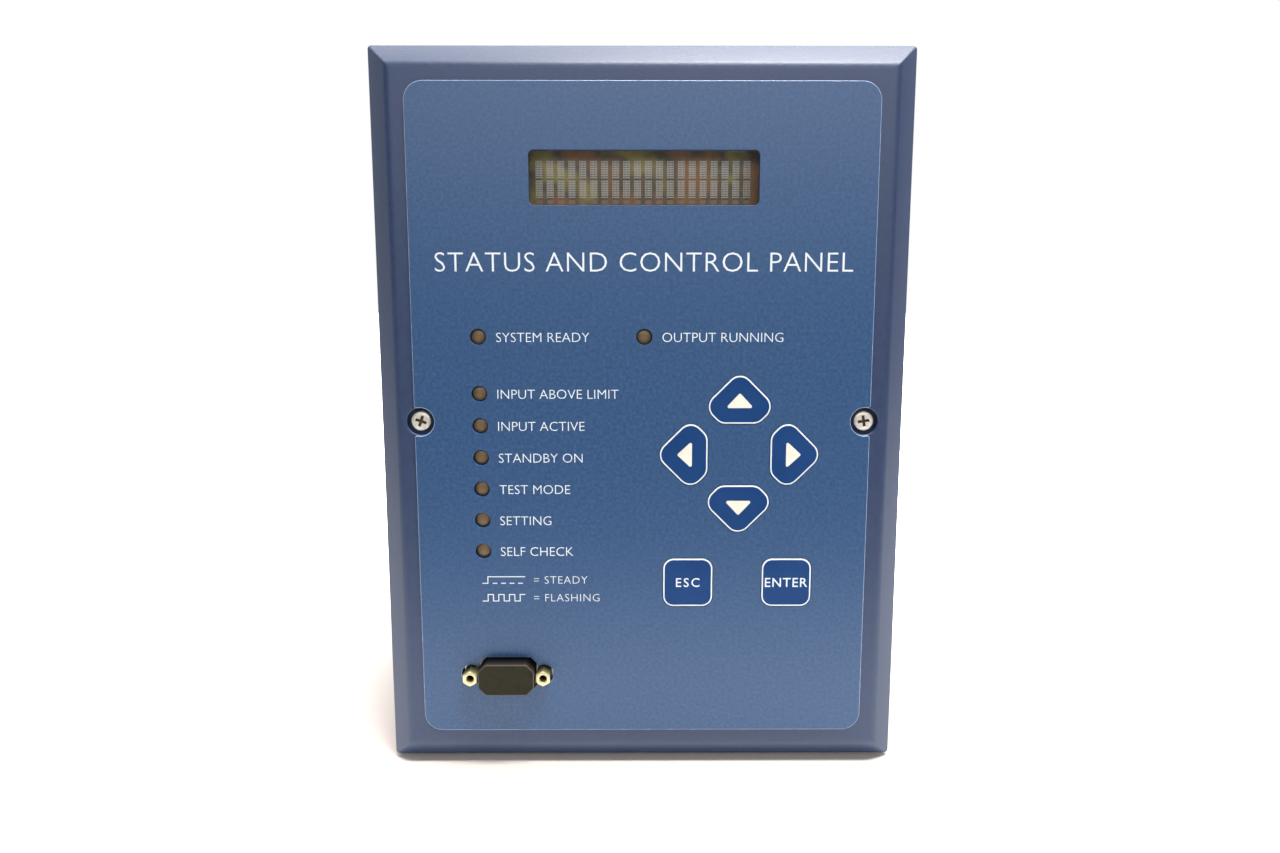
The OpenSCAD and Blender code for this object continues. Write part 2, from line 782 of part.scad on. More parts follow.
module front_screws() {
    color("#c8bcac") for (side = [-1, 1])
        translate([side * front_screw_x, bezel_front + recess_depth, 0]) rotate([90, 0, 0])
            dome_screw(front_head_d, front_head_h, front_screw_d,
                bezel_t - recess_depth + sheet_t + clinch_t + cut);
}

module clinch_nuts() {
    color("silver") for (side = [-1, 1]) difference() {
        bar_y(side * front_screw_x, 0, clinch_d, bezel_back + sheet_t, bezel_back + sheet_t + clinch_t);
        bar_y(side * front_screw_x, 0, front_screw_d, bezel_back, bezel_back + sheet_t + clinch_t + cut);
    }
}

// Folded sheet: a C profile with top lips, rear lips and two front tabs
module chassis() {
    shell_z = -sheet_t / 2;
    color("#2a2c30") difference() {
        union() {
            along_y(bezel_back, rear_in) difference() {
                translate([0, shell_z]) rounded(rectangle(chassis_w, chassis_h - sheet_t, bend_r), bend_r);
                translate([0, shell_z])
                    rounded(rectangle(chassis_w - 2 * sheet_t, chassis_h - 3 * sheet_t, bend_r - sheet_t),
                        bend_r - sheet_t);
                translate([0, chassis_h / 2]) square([chassis_w - 2 * lip_w, 4 * lip_w], center = true);
            }
            for (side = [-1, 1]) {
                along_y(rear_in - sheet_t, rear_in)
                    translate([side * (chassis_inner_x - lip_w / 2 + sheet_t / 2), 0])
                        square([lip_w, chassis_h - 2 * lip_w], center = true);
                along_y(bezel_back, bezel_back + sheet_t)
                    translate([side * (chassis_w / 2 - tab_w / 2), 0])
                        square([tab_w, tab_h], center = true);
            }
        }
        for (side = [-1, 1]) {
            bar_y(side * front_screw_x, 0, front_screw_d + 2 * hole_gap,
                bezel_back - cut, bezel_back + sheet_t + cut);
            for (sz = [-1, 1])
                bar_x(bracket_y, sz * bracket_pitch / 2, 2 * bracket_hole_r,
                    side * chassis_w / 2 - 2 * sheet_t, side * chassis_w / 2 + 2 * sheet_t);
            for (at = standoff_spots)
                bar_x(at[0], at[1], inner_screw_d + 2 * hole_gap,
                    side * chassis_w / 2 - 2 * sheet_t, side * chassis_w / 2 + 2 * sheet_t);
        }
        for (at = cover_spots) translate([at[0], at[1], chassis_top - 2 * sheet_t])
            cylinder(d = sheet_screw_d, h = 4 * sheet_t);
        for (at = rear_spots) bar_y(at[0], at[1], sheet_screw_d, rear_in - 2 * sheet_t, rear_in + cut);
    }
}

module top_cover() {
    color("#2a2c30") difference() {
        block([-chassis_w / 2, bezel_back, chassis_top], [chassis_w / 2, chassis_d, chassis_h / 2]);
        for (at = cover_spots) translate([at[0], at[1], chassis_top - cut])
            cylinder(d = sheet_screw_d + 2 * hole_gap, h = sheet_t + 2 * cut);
    }
}

module cover_screws() {
    color("silver") for (at = cover_spots) translate([at[0], at[1], chassis_h / 2])
        screw(sheet_head_d, sheet_head_h, sheet_screw_d, sheet_screw_len);
}

module rear_panel() {
    color("#2a2c30") along_y(rear_in, chassis_d) difference() {
        translate([0, -sheet_t / 2]) square([chassis_w, chassis_h - sheet_t], center = true);
        for (at = rear_spots) translate(at) circle(d = sheet_screw_d + 2 * hole_gap);
        for (side = [-1, 1], z = plug_spots) translate([side * (board_in - plug_w / 2), z])
            square([plug_w + 2 * fit_gap, plug_len + 2 * fit_gap], center = true);
        translate([0, block_z])
            square([block_w - 2 * block_flange, block_h - 2 * block_flange], center = true);
        translate(stud_at) circle(d = stud_d + 2 * hole_gap);
    }
}

module rear_screws() {
    color("silver") for (at = rear_spots) translate([at[0], chassis_d, at[1]]) rotate([-90, 0, 0])
        screw(sheet_head_d, sheet_head_h, sheet_screw_d, sheet_screw_len);
}

module ground_stud() {
    color("#c9b458") {
        bar_y(stud_at[0], stud_at[1], stud_head_d, rear_in - stud_head_t, rear_in);
        bar_y(stud_at[0], stud_at[1], stud_d, rear_in - stud_head_t / 2, chassis_d + stud_len);
    }
}

module ground_nut() {
    color("silver") difference() {
        bar_y(stud_at[0], stud_at[1], nut_flats / cos(30), chassis_d, chassis_d + nut_t, 6);
        bar_y(stud_at[0], stud_at[1], stud_d + 2 * thread_gap, chassis_d - cut, chassis_d + nut_t + cut);
    }
}

// Upright circuit board on the left (-1) or right (1) of the chassis
module inner_board(side) {
    color("#1f5b3a") difference() {
        block([min(side * board_in, side * board_out), inner_board_y, -inner_board_h / 2],
            [max(side * board_in, side * board_out), inner_board_back, inner_board_h / 2]);
        for (at = standoff_spots)
            bar_x(at[0], at[1], inner_screw_d + 2 * hole_gap,
                side * board_out - 2 * board_t, side * board_out + 2 * board_t);
    }
}

module output_board() { inner_board(-1); }
module main_board() { inner_board(1); }

// Places its children on each standoff spot of both boards, with Z pointing out of the chassis
module at_standoffs(x) {
    for (side = [-1, 1], at = standoff_spots)
        translate([side * x, at[0], at[1]]) rotate([0, side * 90, 0]) children();
}

module board_standoffs() {
    color("gainsboro") at_standoffs(board_out) difference() {
        cylinder(d = standoff_flats / cos(30), h = standoff_len, $fn = 6);
        translate([0, 0, -cut]) cylinder(d = inner_screw_d, h = standoff_len + 2 * cut);
    }
}

module board_screws() {
    color("silver") at_standoffs(board_in) mirror([0, 0, 1])
        screw(inner_head_d, inner_head_h, inner_screw_d, board_t + inner_screw_len);
}

module side_screws() {
    color("silver") at_standoffs(chassis_w / 2)
        screw(inner_head_d, inner_head_h, inner_screw_d, sheet_t + inner_screw_len);
}

// Box on the inner face of a board, centred on y and z
module on_board(side, size, y, z) {
    translate([side > 0 ? board_in - size[0] : -board_in, y - size[1] / 2, z - size[2] / 2]) cube(size);
}

module output_relays() {
    color("#d9d7cf") for (i = [0 : relay_count - 1])
        on_board(-1, relay_size, relay_y, relay_low_z + i * relay_pitch);
}

module supply_transformer() {
    color("#6b6f73") {
        on_board(-1, transformer_core, transformer_at[0], transformer_at[1]);
        on_board(-1, transformer_coil, transformer_at[0], transformer_at[1]);
    }
}

module supply_capacitors() {
    color("#1d2733") for (i = [0 : capacitor_count - 1])
        bar_x(capacitor_at[0], capacitor_at[1] + i * capacitor_pitch, capacitor_d,
            -board_in, -board_in + capacitor_len);
}

module current_transformers() {
    color("#26303f") for (i = [0 : ct_count - 1]) {
        z = ct_low_z + i * ct_pitch;
        on_board(1, ct_size, ct_y, z);
        bar_y(board_in - ct_size[0] / 2, z, ct_coil_d,
            ct_y - ct_size[1] / 2 - ct_coil_extra, ct_y + ct_size[1] / 2 + ct_coil_extra);
    }
}

module main_chips() {
    color("#1a1b1d") for (at = chip_spots) on_board(1, chip_size, at[0], at[1]);
}

module clock_battery() {
    color("#c9cbcd") {
        on_board(1, [cell_seat_t, cell_d, cell_d / 2], cell_at[0], cell_at[1]);
        bar_x(cell_at[0], cell_at[1], cell_d, board_in - cell_seat_t - cell_t, board_in - cell_seat_t);
    }
}

// Flat ribbon: straight back from the front board, a quarter turn, then straight to the main board
module ribbon_cable() {
    turn = [ribbon_x + ribbon_r, ribbon_turn_y - ribbon_r];
    color("#8d9299") translate([0, 0, ribbon_z - ribbon_w / 2]) linear_extrude(ribbon_w) {
        translate([ribbon_x - ribbon_t / 2, ribbon_y]) square([ribbon_t, turn[1] - ribbon_y]);
        intersection() {
            difference() {
                translate(turn) circle(ribbon_r + ribbon_t / 2);
                translate(turn) circle(ribbon_r - ribbon_t / 2);
            }
            translate([turn[0] - 2 * ribbon_r, turn[1]]) square(2 * ribbon_r);
        }
        translate([turn[0], ribbon_turn_y - ribbon_t / 2]) square([ribbon_end_x - turn[0], ribbon_t]);
    }
}

module ribbon_sockets() {
    color("#2b2d30") {
        block([ribbon_x - socket_thick / 2, front_board_back, ribbon_z - socket_w / 2],
            [ribbon_x + socket_thick / 2, ribbon_y, ribbon_z + socket_w / 2]);
        block([ribbon_end_x, ribbon_turn_y - socket_thick / 2, ribbon_z - socket_w / 2],
            [board_in, ribbon_turn_y + socket_thick / 2, ribbon_z + socket_w / 2]);
    }
}

// Headers soldered to one board, passing through the rear panel
module headers(side) {
    color("#3f7f4f") for (z = plug_spots)
        block([side > 0 ? plug_in : -board_in, inner_board_back - header_d, z - plug_len / 2],
            [side > 0 ? board_in : -plug_in, chassis_d + header_lap, z + plug_len / 2]);
}

// Pull-off plugs with wire entries at the back and clamp screws towards the middle
module plugs(side) {
    color("#4b8f5b") for (z = plug_spots) difference() {
        block([side > 0 ? plug_in : -board_in, chassis_d + header_lap, z - plug_len / 2],
            [side > 0 ? board_in : -plug_in, chassis_d + header_lap + plug_d, z + plug_len / 2]);
        for (i = [0 : plug_ways - 1]) {
            way_z = z + (i - (plug_ways - 1) / 2) * plug_pitch;
            translate([side * (board_in - plug_w / 2) - wire_hole / 2, chassis_d + plug_d - wire_hole,
                way_z - wire_hole / 2])
                cube([wire_hole, 2 * wire_hole, wire_hole]);
            bar_x(chassis_d + plug_screw_at, way_z, plug_screw_d + 2 * fit_gap,
                side * plug_in - plug_screw_t, side * plug_in + plug_screw_t);
        }
    }
}

module plug_screws(side) {
    color("silver") for (z = plug_spots, i = [0 : plug_ways - 1])
        translate([side * (plug_in + plug_screw_t), chassis_d + plug_screw_at,
            z + (i - (plug_ways - 1) / 2) * plug_pitch])
            rotate([0, -side * 90, 0]) difference() {
                cylinder(d = plug_screw_d, h = plug_screw_t, $fn = 24);
                translate([-plug_screw_d, -slot_w / 2, plug_screw_t - slot_depth])
                    cube([2 * plug_screw_d, slot_w, 2 * slot_depth]);
            }
}

module output_headers() { headers(-1); }
module output_plugs() { plugs(-1); }
module output_plug_screws() { plug_screws(-1); }
module input_headers() { headers(1); }
module input_plugs() { plugs(1); }
module input_plug_screws() { plug_screws(1); }

// Heavy block for the current inputs, with a screw well and a wire entry for each way
module current_block() {
    way_x = [for (i = [0 : block_ways - 1]) (i - (block_ways - 1) / 2) * block_pitch];
    well_floor = chassis_d + block_d - block_screw_sink - block_screw_t;
    neck = 2 * (block_flange + fit_gap);
    color("#1d1e20") difference() {
        union() {
            along_y(chassis_d, chassis_d + block_d) translate([0, block_z])
                square([block_w, block_h], center = true);
            along_y(rear_in - block_inner_d, chassis_d) translate([0, block_z])
                square([block_w - neck, block_h - neck], center = true);
        }
        for (x = way_x) {
            bar_y(x, block_z, block_screw_d + 2 * fit_gap, well_floor, chassis_d + block_d + cut);
            translate([x - block_entry / 2, chassis_d + block_d / 2 - block_entry,
                block_z - block_h / 2 - cut])
                cube([block_entry, block_entry, block_entry + cut]);
        }
    }
}

module current_block_screws() {
    well_floor = chassis_d + block_d - block_screw_sink - block_screw_t;
    color("silver") for (i = [0 : block_ways - 1])
        translate([(i - (block_ways - 1) / 2) * block_pitch, well_floor, block_z])
            rotate([-90, 0, 0]) difference() {
                cylinder(d = block_screw_d, h = block_screw_t, $fn = 32);
                translate([-block_screw_d, -slot_w / 2, block_screw_t - slot_depth])
                    cube([2 * block_screw_d, slot_w, 2 * slot_depth]);
            }
}

bezel();
panel_gasket();
front_overlay();
display_window();
front_board();
front_board_screws();
status_lamps();
key_switches();
key_up();
key_down();
key_left();
key_right();
key_escape();
key_enter();
display_tube();
display_board();
display_standoffs();
port_shell();
port_insert();
port_jackscrews();
port_cap();
front_screws();
clinch_nuts();
chassis();
top_cover();
cover_screws();
rear_panel();
rear_screws();
ground_stud();
ground_nut();
output_board();
main_board();
board_standoffs();
board_screws();
side_screws();
output_relays();
supply_transformer();
supply_capacitors();
current_transformers();
main_chips();
clock_battery();
ribbon_cable();
ribbon_sockets();
output_headers();
output_plugs();
output_plug_screws();
input_headers();
input_plugs();
input_plug_screws();
current_block();
current_block_screws();
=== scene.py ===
import math

import bmesh
import bpy
import numpy as np
from mathutils import Matrix, Vector
from mathutils.geometry import delaunay_2d_cdt


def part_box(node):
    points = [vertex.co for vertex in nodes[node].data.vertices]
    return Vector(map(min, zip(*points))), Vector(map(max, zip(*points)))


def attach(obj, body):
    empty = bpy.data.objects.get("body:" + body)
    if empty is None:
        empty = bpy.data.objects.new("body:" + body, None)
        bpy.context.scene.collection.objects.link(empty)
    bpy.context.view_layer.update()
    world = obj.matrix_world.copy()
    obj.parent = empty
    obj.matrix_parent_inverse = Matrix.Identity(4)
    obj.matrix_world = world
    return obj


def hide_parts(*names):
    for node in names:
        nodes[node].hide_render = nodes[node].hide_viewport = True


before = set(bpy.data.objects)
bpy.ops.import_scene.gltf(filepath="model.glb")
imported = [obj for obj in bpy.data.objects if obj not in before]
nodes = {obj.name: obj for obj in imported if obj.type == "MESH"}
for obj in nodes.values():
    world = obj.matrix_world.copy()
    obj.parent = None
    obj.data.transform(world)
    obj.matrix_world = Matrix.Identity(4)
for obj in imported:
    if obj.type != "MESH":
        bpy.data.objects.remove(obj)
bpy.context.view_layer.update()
MM = 0.001

# Studio: the part leans back on a white table, on its bezel's lower edge and its chassis. The table
# ends in front of it, the backdrop is white, and a ceiling lamp, a lamp behind and a card light it.
CAMERA_AT = (-2.22, -325.8, 46.5)
CAMERA_LENS, CAMERA_SENSOR, CAMERA_NEAR = 26.72, 36, 10
CAMERA_PITCH, CAMERA_YAW, CAMERA_ROLL = -0.152516, -0.004380, -0.000336
FLOOR_REACH, FLOOR_FRONT, FLOOR_GAP = 1500, 205, 0.8
FLOOR_SHADE = (0.9, 0.89, 0.87, 1)
FLOOR_NEAR, FLOOR_NEAR_SHADE = 150, (0.67, 0.6, 0.555, 1)
FLOOR_FAR, FLOOR_FAR_SHADE = 420, (3.0, 3.0, 3.0, 1)
ROOM_FIRST, ROOM_LAST = -0.3, 0.3
ROOM_DIM, ROOM_BRIGHT = 0.22, 1.4
WHITE = (1, 1, 1, 1)


def corners_of(name):
    """Lowest and highest corner of a CAD node in millimetres."""
    return [np.array(corner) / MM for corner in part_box(name)]


def link(tree, start, start_socket, end, end_socket):
    """Joins two sockets of a node tree."""
    tree.links.new(start.outputs[start_socket], end.inputs[end_socket])


def colour_ramp(tree, shades, first, last):
    """Ramp through the shades, spaced evenly between two values. A new ramp has two stops already."""
    ramp = tree.nodes.new("ShaderNodeValToRGB")
    spots = np.linspace(first, last, len(shades))
    stops = ramp.color_ramp.elements
    for i, (spot, colour) in enumerate(zip(spots, shades)):
        stop = stops[i] if i < 2 else stops.new(spot)
        stop.position = spot
        stop.color = colour
    return ramp


def mapped(tree, start, socket, ends, ease="LINEAR"):
    """Node that carries a value from one span to another: the four ends are those of the span that it
    comes from and of the span that it goes to."""
    made = tree.nodes.new("ShaderNodeMapRange")
    made.interpolation_type = ease
    for name, end in zip(("From Min", "From Max", "To Min", "To Max"), ends):
        made.inputs[name].default_value = end
    link(tree, start, socket, made, "Value")
    return made


def axes(tree, kind):
    """Node with the three parts of a texture coordinate."""
    place = tree.nodes.new("ShaderNodeTexCoord")
    parts = tree.nodes.new("ShaderNodeSeparateXYZ")
    link(tree, place, kind, parts, 0)
    return parts


def reckoned(tree, operation, *sockets):
    """Math node of one operation on pairs of a node and its socket."""
    made = tree.nodes.new("ShaderNodeMath")
    made.operation = operation
    for i, (start, socket) in enumerate(sockets):
        link(tree, start, socket, made, i)
    return made


def for_camera(tree, given, seen, mirrored=None):
    """Shader that gives light to the part as `given`. The camera sees it as `seen`, also through glass,
    and so do metal and gloss by the share that the node `mirrored` gives."""
    rays = tree.nodes.new("ShaderNodeLightPath")
    share = reckoned(tree, "MAXIMUM", (rays, "Is Camera Ray"), (rays, "Is Transmission Ray"))
    if mirrored:
        share = reckoned(tree, "MULTIPLY_ADD", (rays, "Is Glossy Ray"), (mirrored, 0), (share, 0))
    blend = tree.nodes.new("ShaderNodeMixShader")
    link(tree, share, 0, blend, 0)
    link(tree, given, 0, blend, 1)
    link(tree, seen, 0, blend, 2)
    return blend


def table_paper():
    """Diffuse white for the light that it gives back. To the camera it whitens with the distance from
    the part, so that only the shadow beside the part is seen."""
    paper = bpy.data.materials.new("floor_paper")
    paper.use_nodes = True
    tree = paper.node_tree
    tree.nodes.clear()
    place = tree.nodes.new("ShaderNodeTexCoord")
    away = tree.nodes.new("ShaderNodeVectorMath")
    away.operation = "LENGTH"
    link(tree, place, "Object", away, 0)
    ramp = colour_ramp(tree, [FLOOR_NEAR_SHADE, FLOOR_FAR_SHADE], FLOOR_NEAR * MM, FLOOR_FAR * MM)
    link(tree, away, "Value", ramp, 0)
    given, seen = (tree.nodes.new("ShaderNodeBsdfDiffuse") for _ in range(2))
    given.inputs["Color"].default_value = FLOOR_SHADE
    link(tree, ramp, 0, seen, "Color")
    out = tree.nodes.new("ShaderNodeOutputMaterial")
    link(tree, for_camera(tree, given, seen), 0, out, "Surface")
    return paper


def backdrop():
    """World that shows the camera plain white, and lights the part as a room with a white backdrop
    does: dim on the camera's side and brighter towards the back, where reflections show it white."""
    world = bpy.data.worlds.new("surround")
    world.use_nodes = True
    tree = world.node_tree
    tree.nodes.clear()
    back = mapped(tree, axes(tree, "Generated"), "Y", (ROOM_FIRST, ROOM_LAST, 0, 1), "SMOOTHSTEP")
    rise = mapped(tree, back, 0, (0, 1, ROOM_DIM, ROOM_BRIGHT))
    room, white = (tree.nodes.new("ShaderNodeBackground") for _ in range(2))
    room.inputs["Color"].default_value = WHITE
    white.inputs["Color"].default_value = WHITE
    link(tree, rise, 0, room, "Strength")
    out = tree.nodes.new("ShaderNodeOutputWorld")
    link(tree, for_camera(tree, room, white, back), 0, out, "Surface")
    return world


def lamp(name, at, aim, width, depth, radiance):
    """Area lamp that faces a point: its power is its radiance times pi times its area."""
    light = bpy.data.lights.new(name, "AREA")
    light.shape = "RECTANGLE"
    light.size = width * MM
    light.size_y = depth * MM
    light.energy = radiance * math.pi * light.size * light.size_y
    thing = bpy.data.objects.new(name, light)
    thing.location = Vector(at) * MM
    thing.rotation_euler = (Vector(aim) - Vector(at)).to_track_quat("-Z", "Y").to_euler()
    bpy.context.scene.collection.objects.link(thing)


bezel_low, bezel_high = corners_of("bezel")
rear_low, rear_high = corners_of("rear_panel")
rest_slope = (rear_low[2] - bezel_low[2]) / (rear_high[1] - bezel_high[1])
floor_x = np.array([-FLOOR_REACH, FLOOR_REACH, FLOOR_REACH, -FLOOR_REACH])
floor_y = np.array([-FLOOR_FRONT, -FLOOR_FRONT, FLOOR_REACH, FLOOR_REACH])
floor_z = bezel_low[2] - FLOOR_GAP + rest_slope * (floor_y - bezel_high[1])
floor_mesh = bpy.data.meshes.new("floor")
floor_mesh.from_pydata(np.stack([floor_x, floor_y, floor_z], 1) * MM, [], [(0, 1, 2, 3)])
floor_mesh.materials.append(table_paper())
floor = bpy.data.objects.new("floor", floor_mesh)
bpy.context.scene.collection.objects.link(floor)
bpy.context.scene.world = backdrop()
lamp("ceiling_lamp", at=(200, -280, 900), aim=(200, -280, 0), width=560, depth=160, radiance=63)
lamp("rear_ceiling_lamp", at=(0, 180, 900), aim=(0, 180, 0), width=1500, depth=300, radiance=7.0)
lamp("front_card", at=(70, -762, 325), aim=(0, 0, 60), width=1000, depth=250, radiance=3.5)

lens = bpy.data.cameras.new("camera")
lens.lens = CAMERA_LENS
lens.sensor_width = CAMERA_SENSOR
lens.sensor_fit = "HORIZONTAL"
lens.clip_start = CAMERA_NEAR * MM
camera = bpy.data.objects.new("camera", lens)
camera.matrix_world = (
    Matrix.Translation(Vector(CAMERA_AT) * MM)
    @ Matrix.Rotation(CAMERA_YAW, 4, "Z")
    @ Matrix.Rotation(CAMERA_PITCH, 4, "X")
    @ Matrix.Rotation(CAMERA_ROLL, 4, "Y")
    @ Matrix.Rotation(math.pi / 2, 4, "X")
)
bpy.context.scene.collection.objects.link(camera)
bpy.context.scene.camera = camera
bpy.context.scene.view_settings.view_transform = "Standard"

# Chassis: folded steel sheet with a lid and a rear panel screwed on, all powder coated dark grey.
# The coat has a fine orange-peel grain and drifts a little in shade and gloss.
DRIFT = (0.3, 0.7)
DRIFT_DETAIL, GRAIN_DETAIL = 5, 2


def tone(red, green, blue):
    """Linear colour, by the standard display curve, of one whose channels run from 0 to 255."""
    level = np.array([red, green, blue]) / 255
    linear = np.where(level <= 0.04045, level / 12.92, ((level + 0.055) / 1.055) ** 2.4)
    return (*linear.tolist(), 1)


def noise(tree, size, detail):
    """Noise on Object coordinates with features about `size` millimetres across."""
    place = tree.nodes.new("ShaderNodeTexCoord")
    cloud = tree.nodes.new("ShaderNodeTexNoise")
    cloud.inputs["Scale"].default_value = 1 / (size * MM)
    cloud.inputs["Detail"].default_value = detail
    link(tree, place, "Object", cloud, "Vector")
    return cloud


def finish(name, shades, rough, cloud, grain, relief, **sockets):
    """Surface that drifts through its shades and between two roughnesses over patches of `cloud`
    millimetres, with a bump of `relief` millimetres whose grain is `grain` millimetres across."""
    made = bpy.data.materials.new(name)
    made.use_nodes = True
    tree = made.node_tree
    shader = tree.nodes["Principled BSDF"]
    for socket, value in sockets.items():
        shader.inputs[socket.replace("_", " ")].default_value = value
    drift = noise(tree, cloud, DRIFT_DETAIL)
    ramp = colour_ramp(tree, [tone(*shade) for shade in shades], *DRIFT)
    link(tree, drift, 0, ramp, 0)
    link(tree, ramp, 0, shader, "Base Color")
    link(tree, mapped(tree, drift, 0, (*DRIFT, *rough)), 0, shader, "Roughness")
    bump = tree.nodes.new("ShaderNodeBump")
    bump.inputs["Distance"].default_value = relief * MM
    link(tree, noise(tree, grain, GRAIN_DETAIL), 0, bump, "Height")
    link(tree, bump, 0, shader, "Normal")
    return made


def dress(material, *names):
    """Gives CAD nodes a finish in place of their plain colour."""
    for name in names:
        nodes[name].active_material = material


powder_coat = finish("grey_powder_coat", [(42, 44, 49), (52, 54, 60)],
    rough=(0.42, 0.55), cloud=30, grain=0.7, relief=0.05)
dress(powder_coat, "chassis", "top_cover", "rear_panel")

# Inside the chassis: two upright circuit boards on standoffs with their relays, transformers,
# capacitors, chips and coin cell, and a flat ribbon of thin wires to the front board.
CORE_SHEET, CORE_GROOVE = 0.7, 0.35
RIBBON_PITCH, RIBBON_GROOVE = 1.27, 0.3
WAVE_RATE = 20


def striped(made, axis, pitch, groove):
    """Finish with stripes `pitch` millimetres apart along an axis, darker between them by a share. The
    wave repeats each time its coordinate, times its scale and its rate, grows by a full turn."""
    tree = made.node_tree
    shader = tree.nodes["Principled BSDF"]
    plain = shader.inputs["Base Color"].links[0].from_node
    place = tree.nodes.new("ShaderNodeTexCoord")
    wave = tree.nodes.new("ShaderNodeTexWave")
    wave.bands_direction = axis
    wave.inputs["Scale"].default_value = math.tau / (WAVE_RATE * pitch * MM)
    link(tree, place, "Object", wave, "Vector")
    shade = tree.nodes.new("ShaderNodeVectorMath")
    shade.operation = "SCALE"
    link(tree, plain, 0, shade, 0)
    link(tree, mapped(tree, wave, "Fac", (0, 1, 1 - groove, 1)), 0, shade, "Scale")
    link(tree, shade, 0, shader, "Base Color")
    return made


laminate = finish("green_laminate", [(16, 70, 42), (22, 92, 54), (14, 60, 38)],
    rough=(0.3, 0.42), cloud=6, grain=0.8, relief=0.02, Coat_Weight=0.4, Coat_Roughness=0.2)
dress(laminate, "output_board", "main_board", "front_board", "display_board")
relay_box = finish("relay_box", [(214, 212, 204), (224, 222, 214)],
    rough=(0.35, 0.45), cloud=12, grain=0.6, relief=0.01)
dress(relay_box, "output_relays")
core = finish("core_laminations", [(96, 100, 104), (122, 126, 130)],
    rough=(0.4, 0.6), cloud=3, grain=0.4, relief=0.05, Metallic=0.6)
dress(striped(core, "Y", CORE_SHEET, CORE_GROOVE), "supply_transformer")
sleeve = finish("capacitor_sleeve", [(24, 32, 44), (32, 42, 58)],
    rough=(0.25, 0.35), cloud=10, grain=0.5, relief=0.01)
dress(sleeve, "supply_capacitors")
tape = finish("winding_tape", [(34, 44, 58), (46, 56, 70)],
    rough=(0.4, 0.55), cloud=4, grain=0.5, relief=0.03)
dress(tape, "current_transformers")
chip_resin = finish("chip_resin", [(24, 25, 27), (32, 33, 35)],
    rough=(0.5, 0.62), cloud=5, grain=0.2, relief=0.01)
dress(chip_resin, "main_chips")
cell = finish("cell_steel", [(196, 198, 200), (214, 215, 216)],
    rough=(0.25, 0.35), cloud=8, grain=0.3, relief=0.005, Metallic=1.0)
dress(cell, "clock_battery")
ribbon = finish("ribbon_film", [(136, 140, 147), (150, 154, 160)],
    rough=(0.4, 0.5), cloud=10, grain=0.6, relief=0.02)
dress(striped(ribbon, "Z", RIBBON_PITCH, RIBBON_GROOVE), "ribbon_cable")
moulding = finish("black_moulding", [(28, 29, 32), (38, 39, 42)],
    rough=(0.4, 0.52), cloud=8, grain=0.4, relief=0.015)
dress(moulding, "key_switches", "ribbon_sockets", "port_insert")

# Fasteners and plated metal: zinc-plated steel screws, standoffs, nuts and the port's shell, with
# the cloudy bluish sheen of bright zinc, and a yellow-passivated ground stud.
bright_zinc = finish("bright_zinc", [(188, 192, 198), (206, 208, 210), (176, 180, 188)],
    rough=(0.26, 0.42), cloud=4, grain=0.25, relief=0.006, Metallic=1.0)
dress(bright_zinc, "front_board_screws", "display_standoffs", "port_shell", "clinch_nuts", "cover_screws",
    "rear_screws", "side_screws", "board_screws", "board_standoffs", "ground_nut", "output_plug_screws",
    "input_plug_screws", "current_block_screws")
yellow_zinc = finish("yellow_zinc", [(206, 188, 112), (214, 186, 140), (190, 184, 120)],
    rough=(0.28, 0.42), cloud=4, grain=0.3, relief=0.006, Metallic=1.0)
dress(yellow_zinc, "ground_stud")

# Rear terminals: green pull-off plugs in headers on the two boards, and a black block for the
# heavier wires, all moulded in glass-filled nylon.
green_nylon = finish("green_nylon", [(52, 128, 74), (62, 142, 84)],
    rough=(0.38, 0.5), cloud=14, grain=0.5, relief=0.02)
dress(green_nylon, "output_headers", "output_plugs", "input_headers", "input_plugs")
black_nylon = finish("black_nylon", [(26, 27, 29), (36, 37, 39)],
    rough=(0.42, 0.55), cloud=12, grain=0.5, relief=0.02)
dress(black_nylon, "current_block")

# Panel gasket: a die-cut ring of black closed-cell foam, glued behind the bezel and pressed against
# the panel when the part is screwed in.
gasket_foam = finish("gasket_foam", [(26, 26, 28), (40, 40, 42)],
    rough=(0.75, 0.9), cloud=3, grain=0.6, relief=0.12)
dress(gasket_foam, "panel_gasket")

# Bezel: one cast frame with a wide chamfer, mitred corners and a 3 mm front wall, painted dark blue.
# Its openings are for the display, lamps, keys and port, and two deep recesses hold screws.
QUARTER = math.pi / 2
LARGER, SMALLER, FRONT = 360, 180, 270
BEZEL_CHAMFER_W, BEZEL_CHAMFER_D = 6.7, 5.4
BEZEL_ROLL, BEZEL_EDGE = 4.0, 0.8
BEZEL_CORNER, BEZEL_MITRE = 1.2, 0.5
BEZEL_POCKET, BEZEL_POCKET_R = 11.5, 3.0
BEZEL_WALL = 3.0
RIM_INSET = 8.6
RECESS_R, RECESS_DEPTH, RECESS_LIP = 4.5, 3.2, 0.45
SCREW_HOLE_R, BOSS_R, HEAD_R = 2.2, 5.5, 3.2
KEY_GAP, KEY_FLANGE = 0.2, 1.1
ARROW_R, COMMAND_R = 4.4, 3.5
LAMP_HOLE_R, LAMP_RIM_R = 2.65, 2.9
LAMP_PITCH, LAMP_COUNT = 10.75, 6
PANE_LAP, WINDOW_R = 3.0, 1.8
PORT_W, PORT_H, PORT_CUT, PORT_R = 20.6, 12.4, 2.4, 0.8
PORT_LOBE_R, PORT_NECK_R = 3.6, 0.3
JACK_FLATS = 4.75
FILL_TOLERANCE = 1e-5
MERGE, CREASE = 0.002, 32


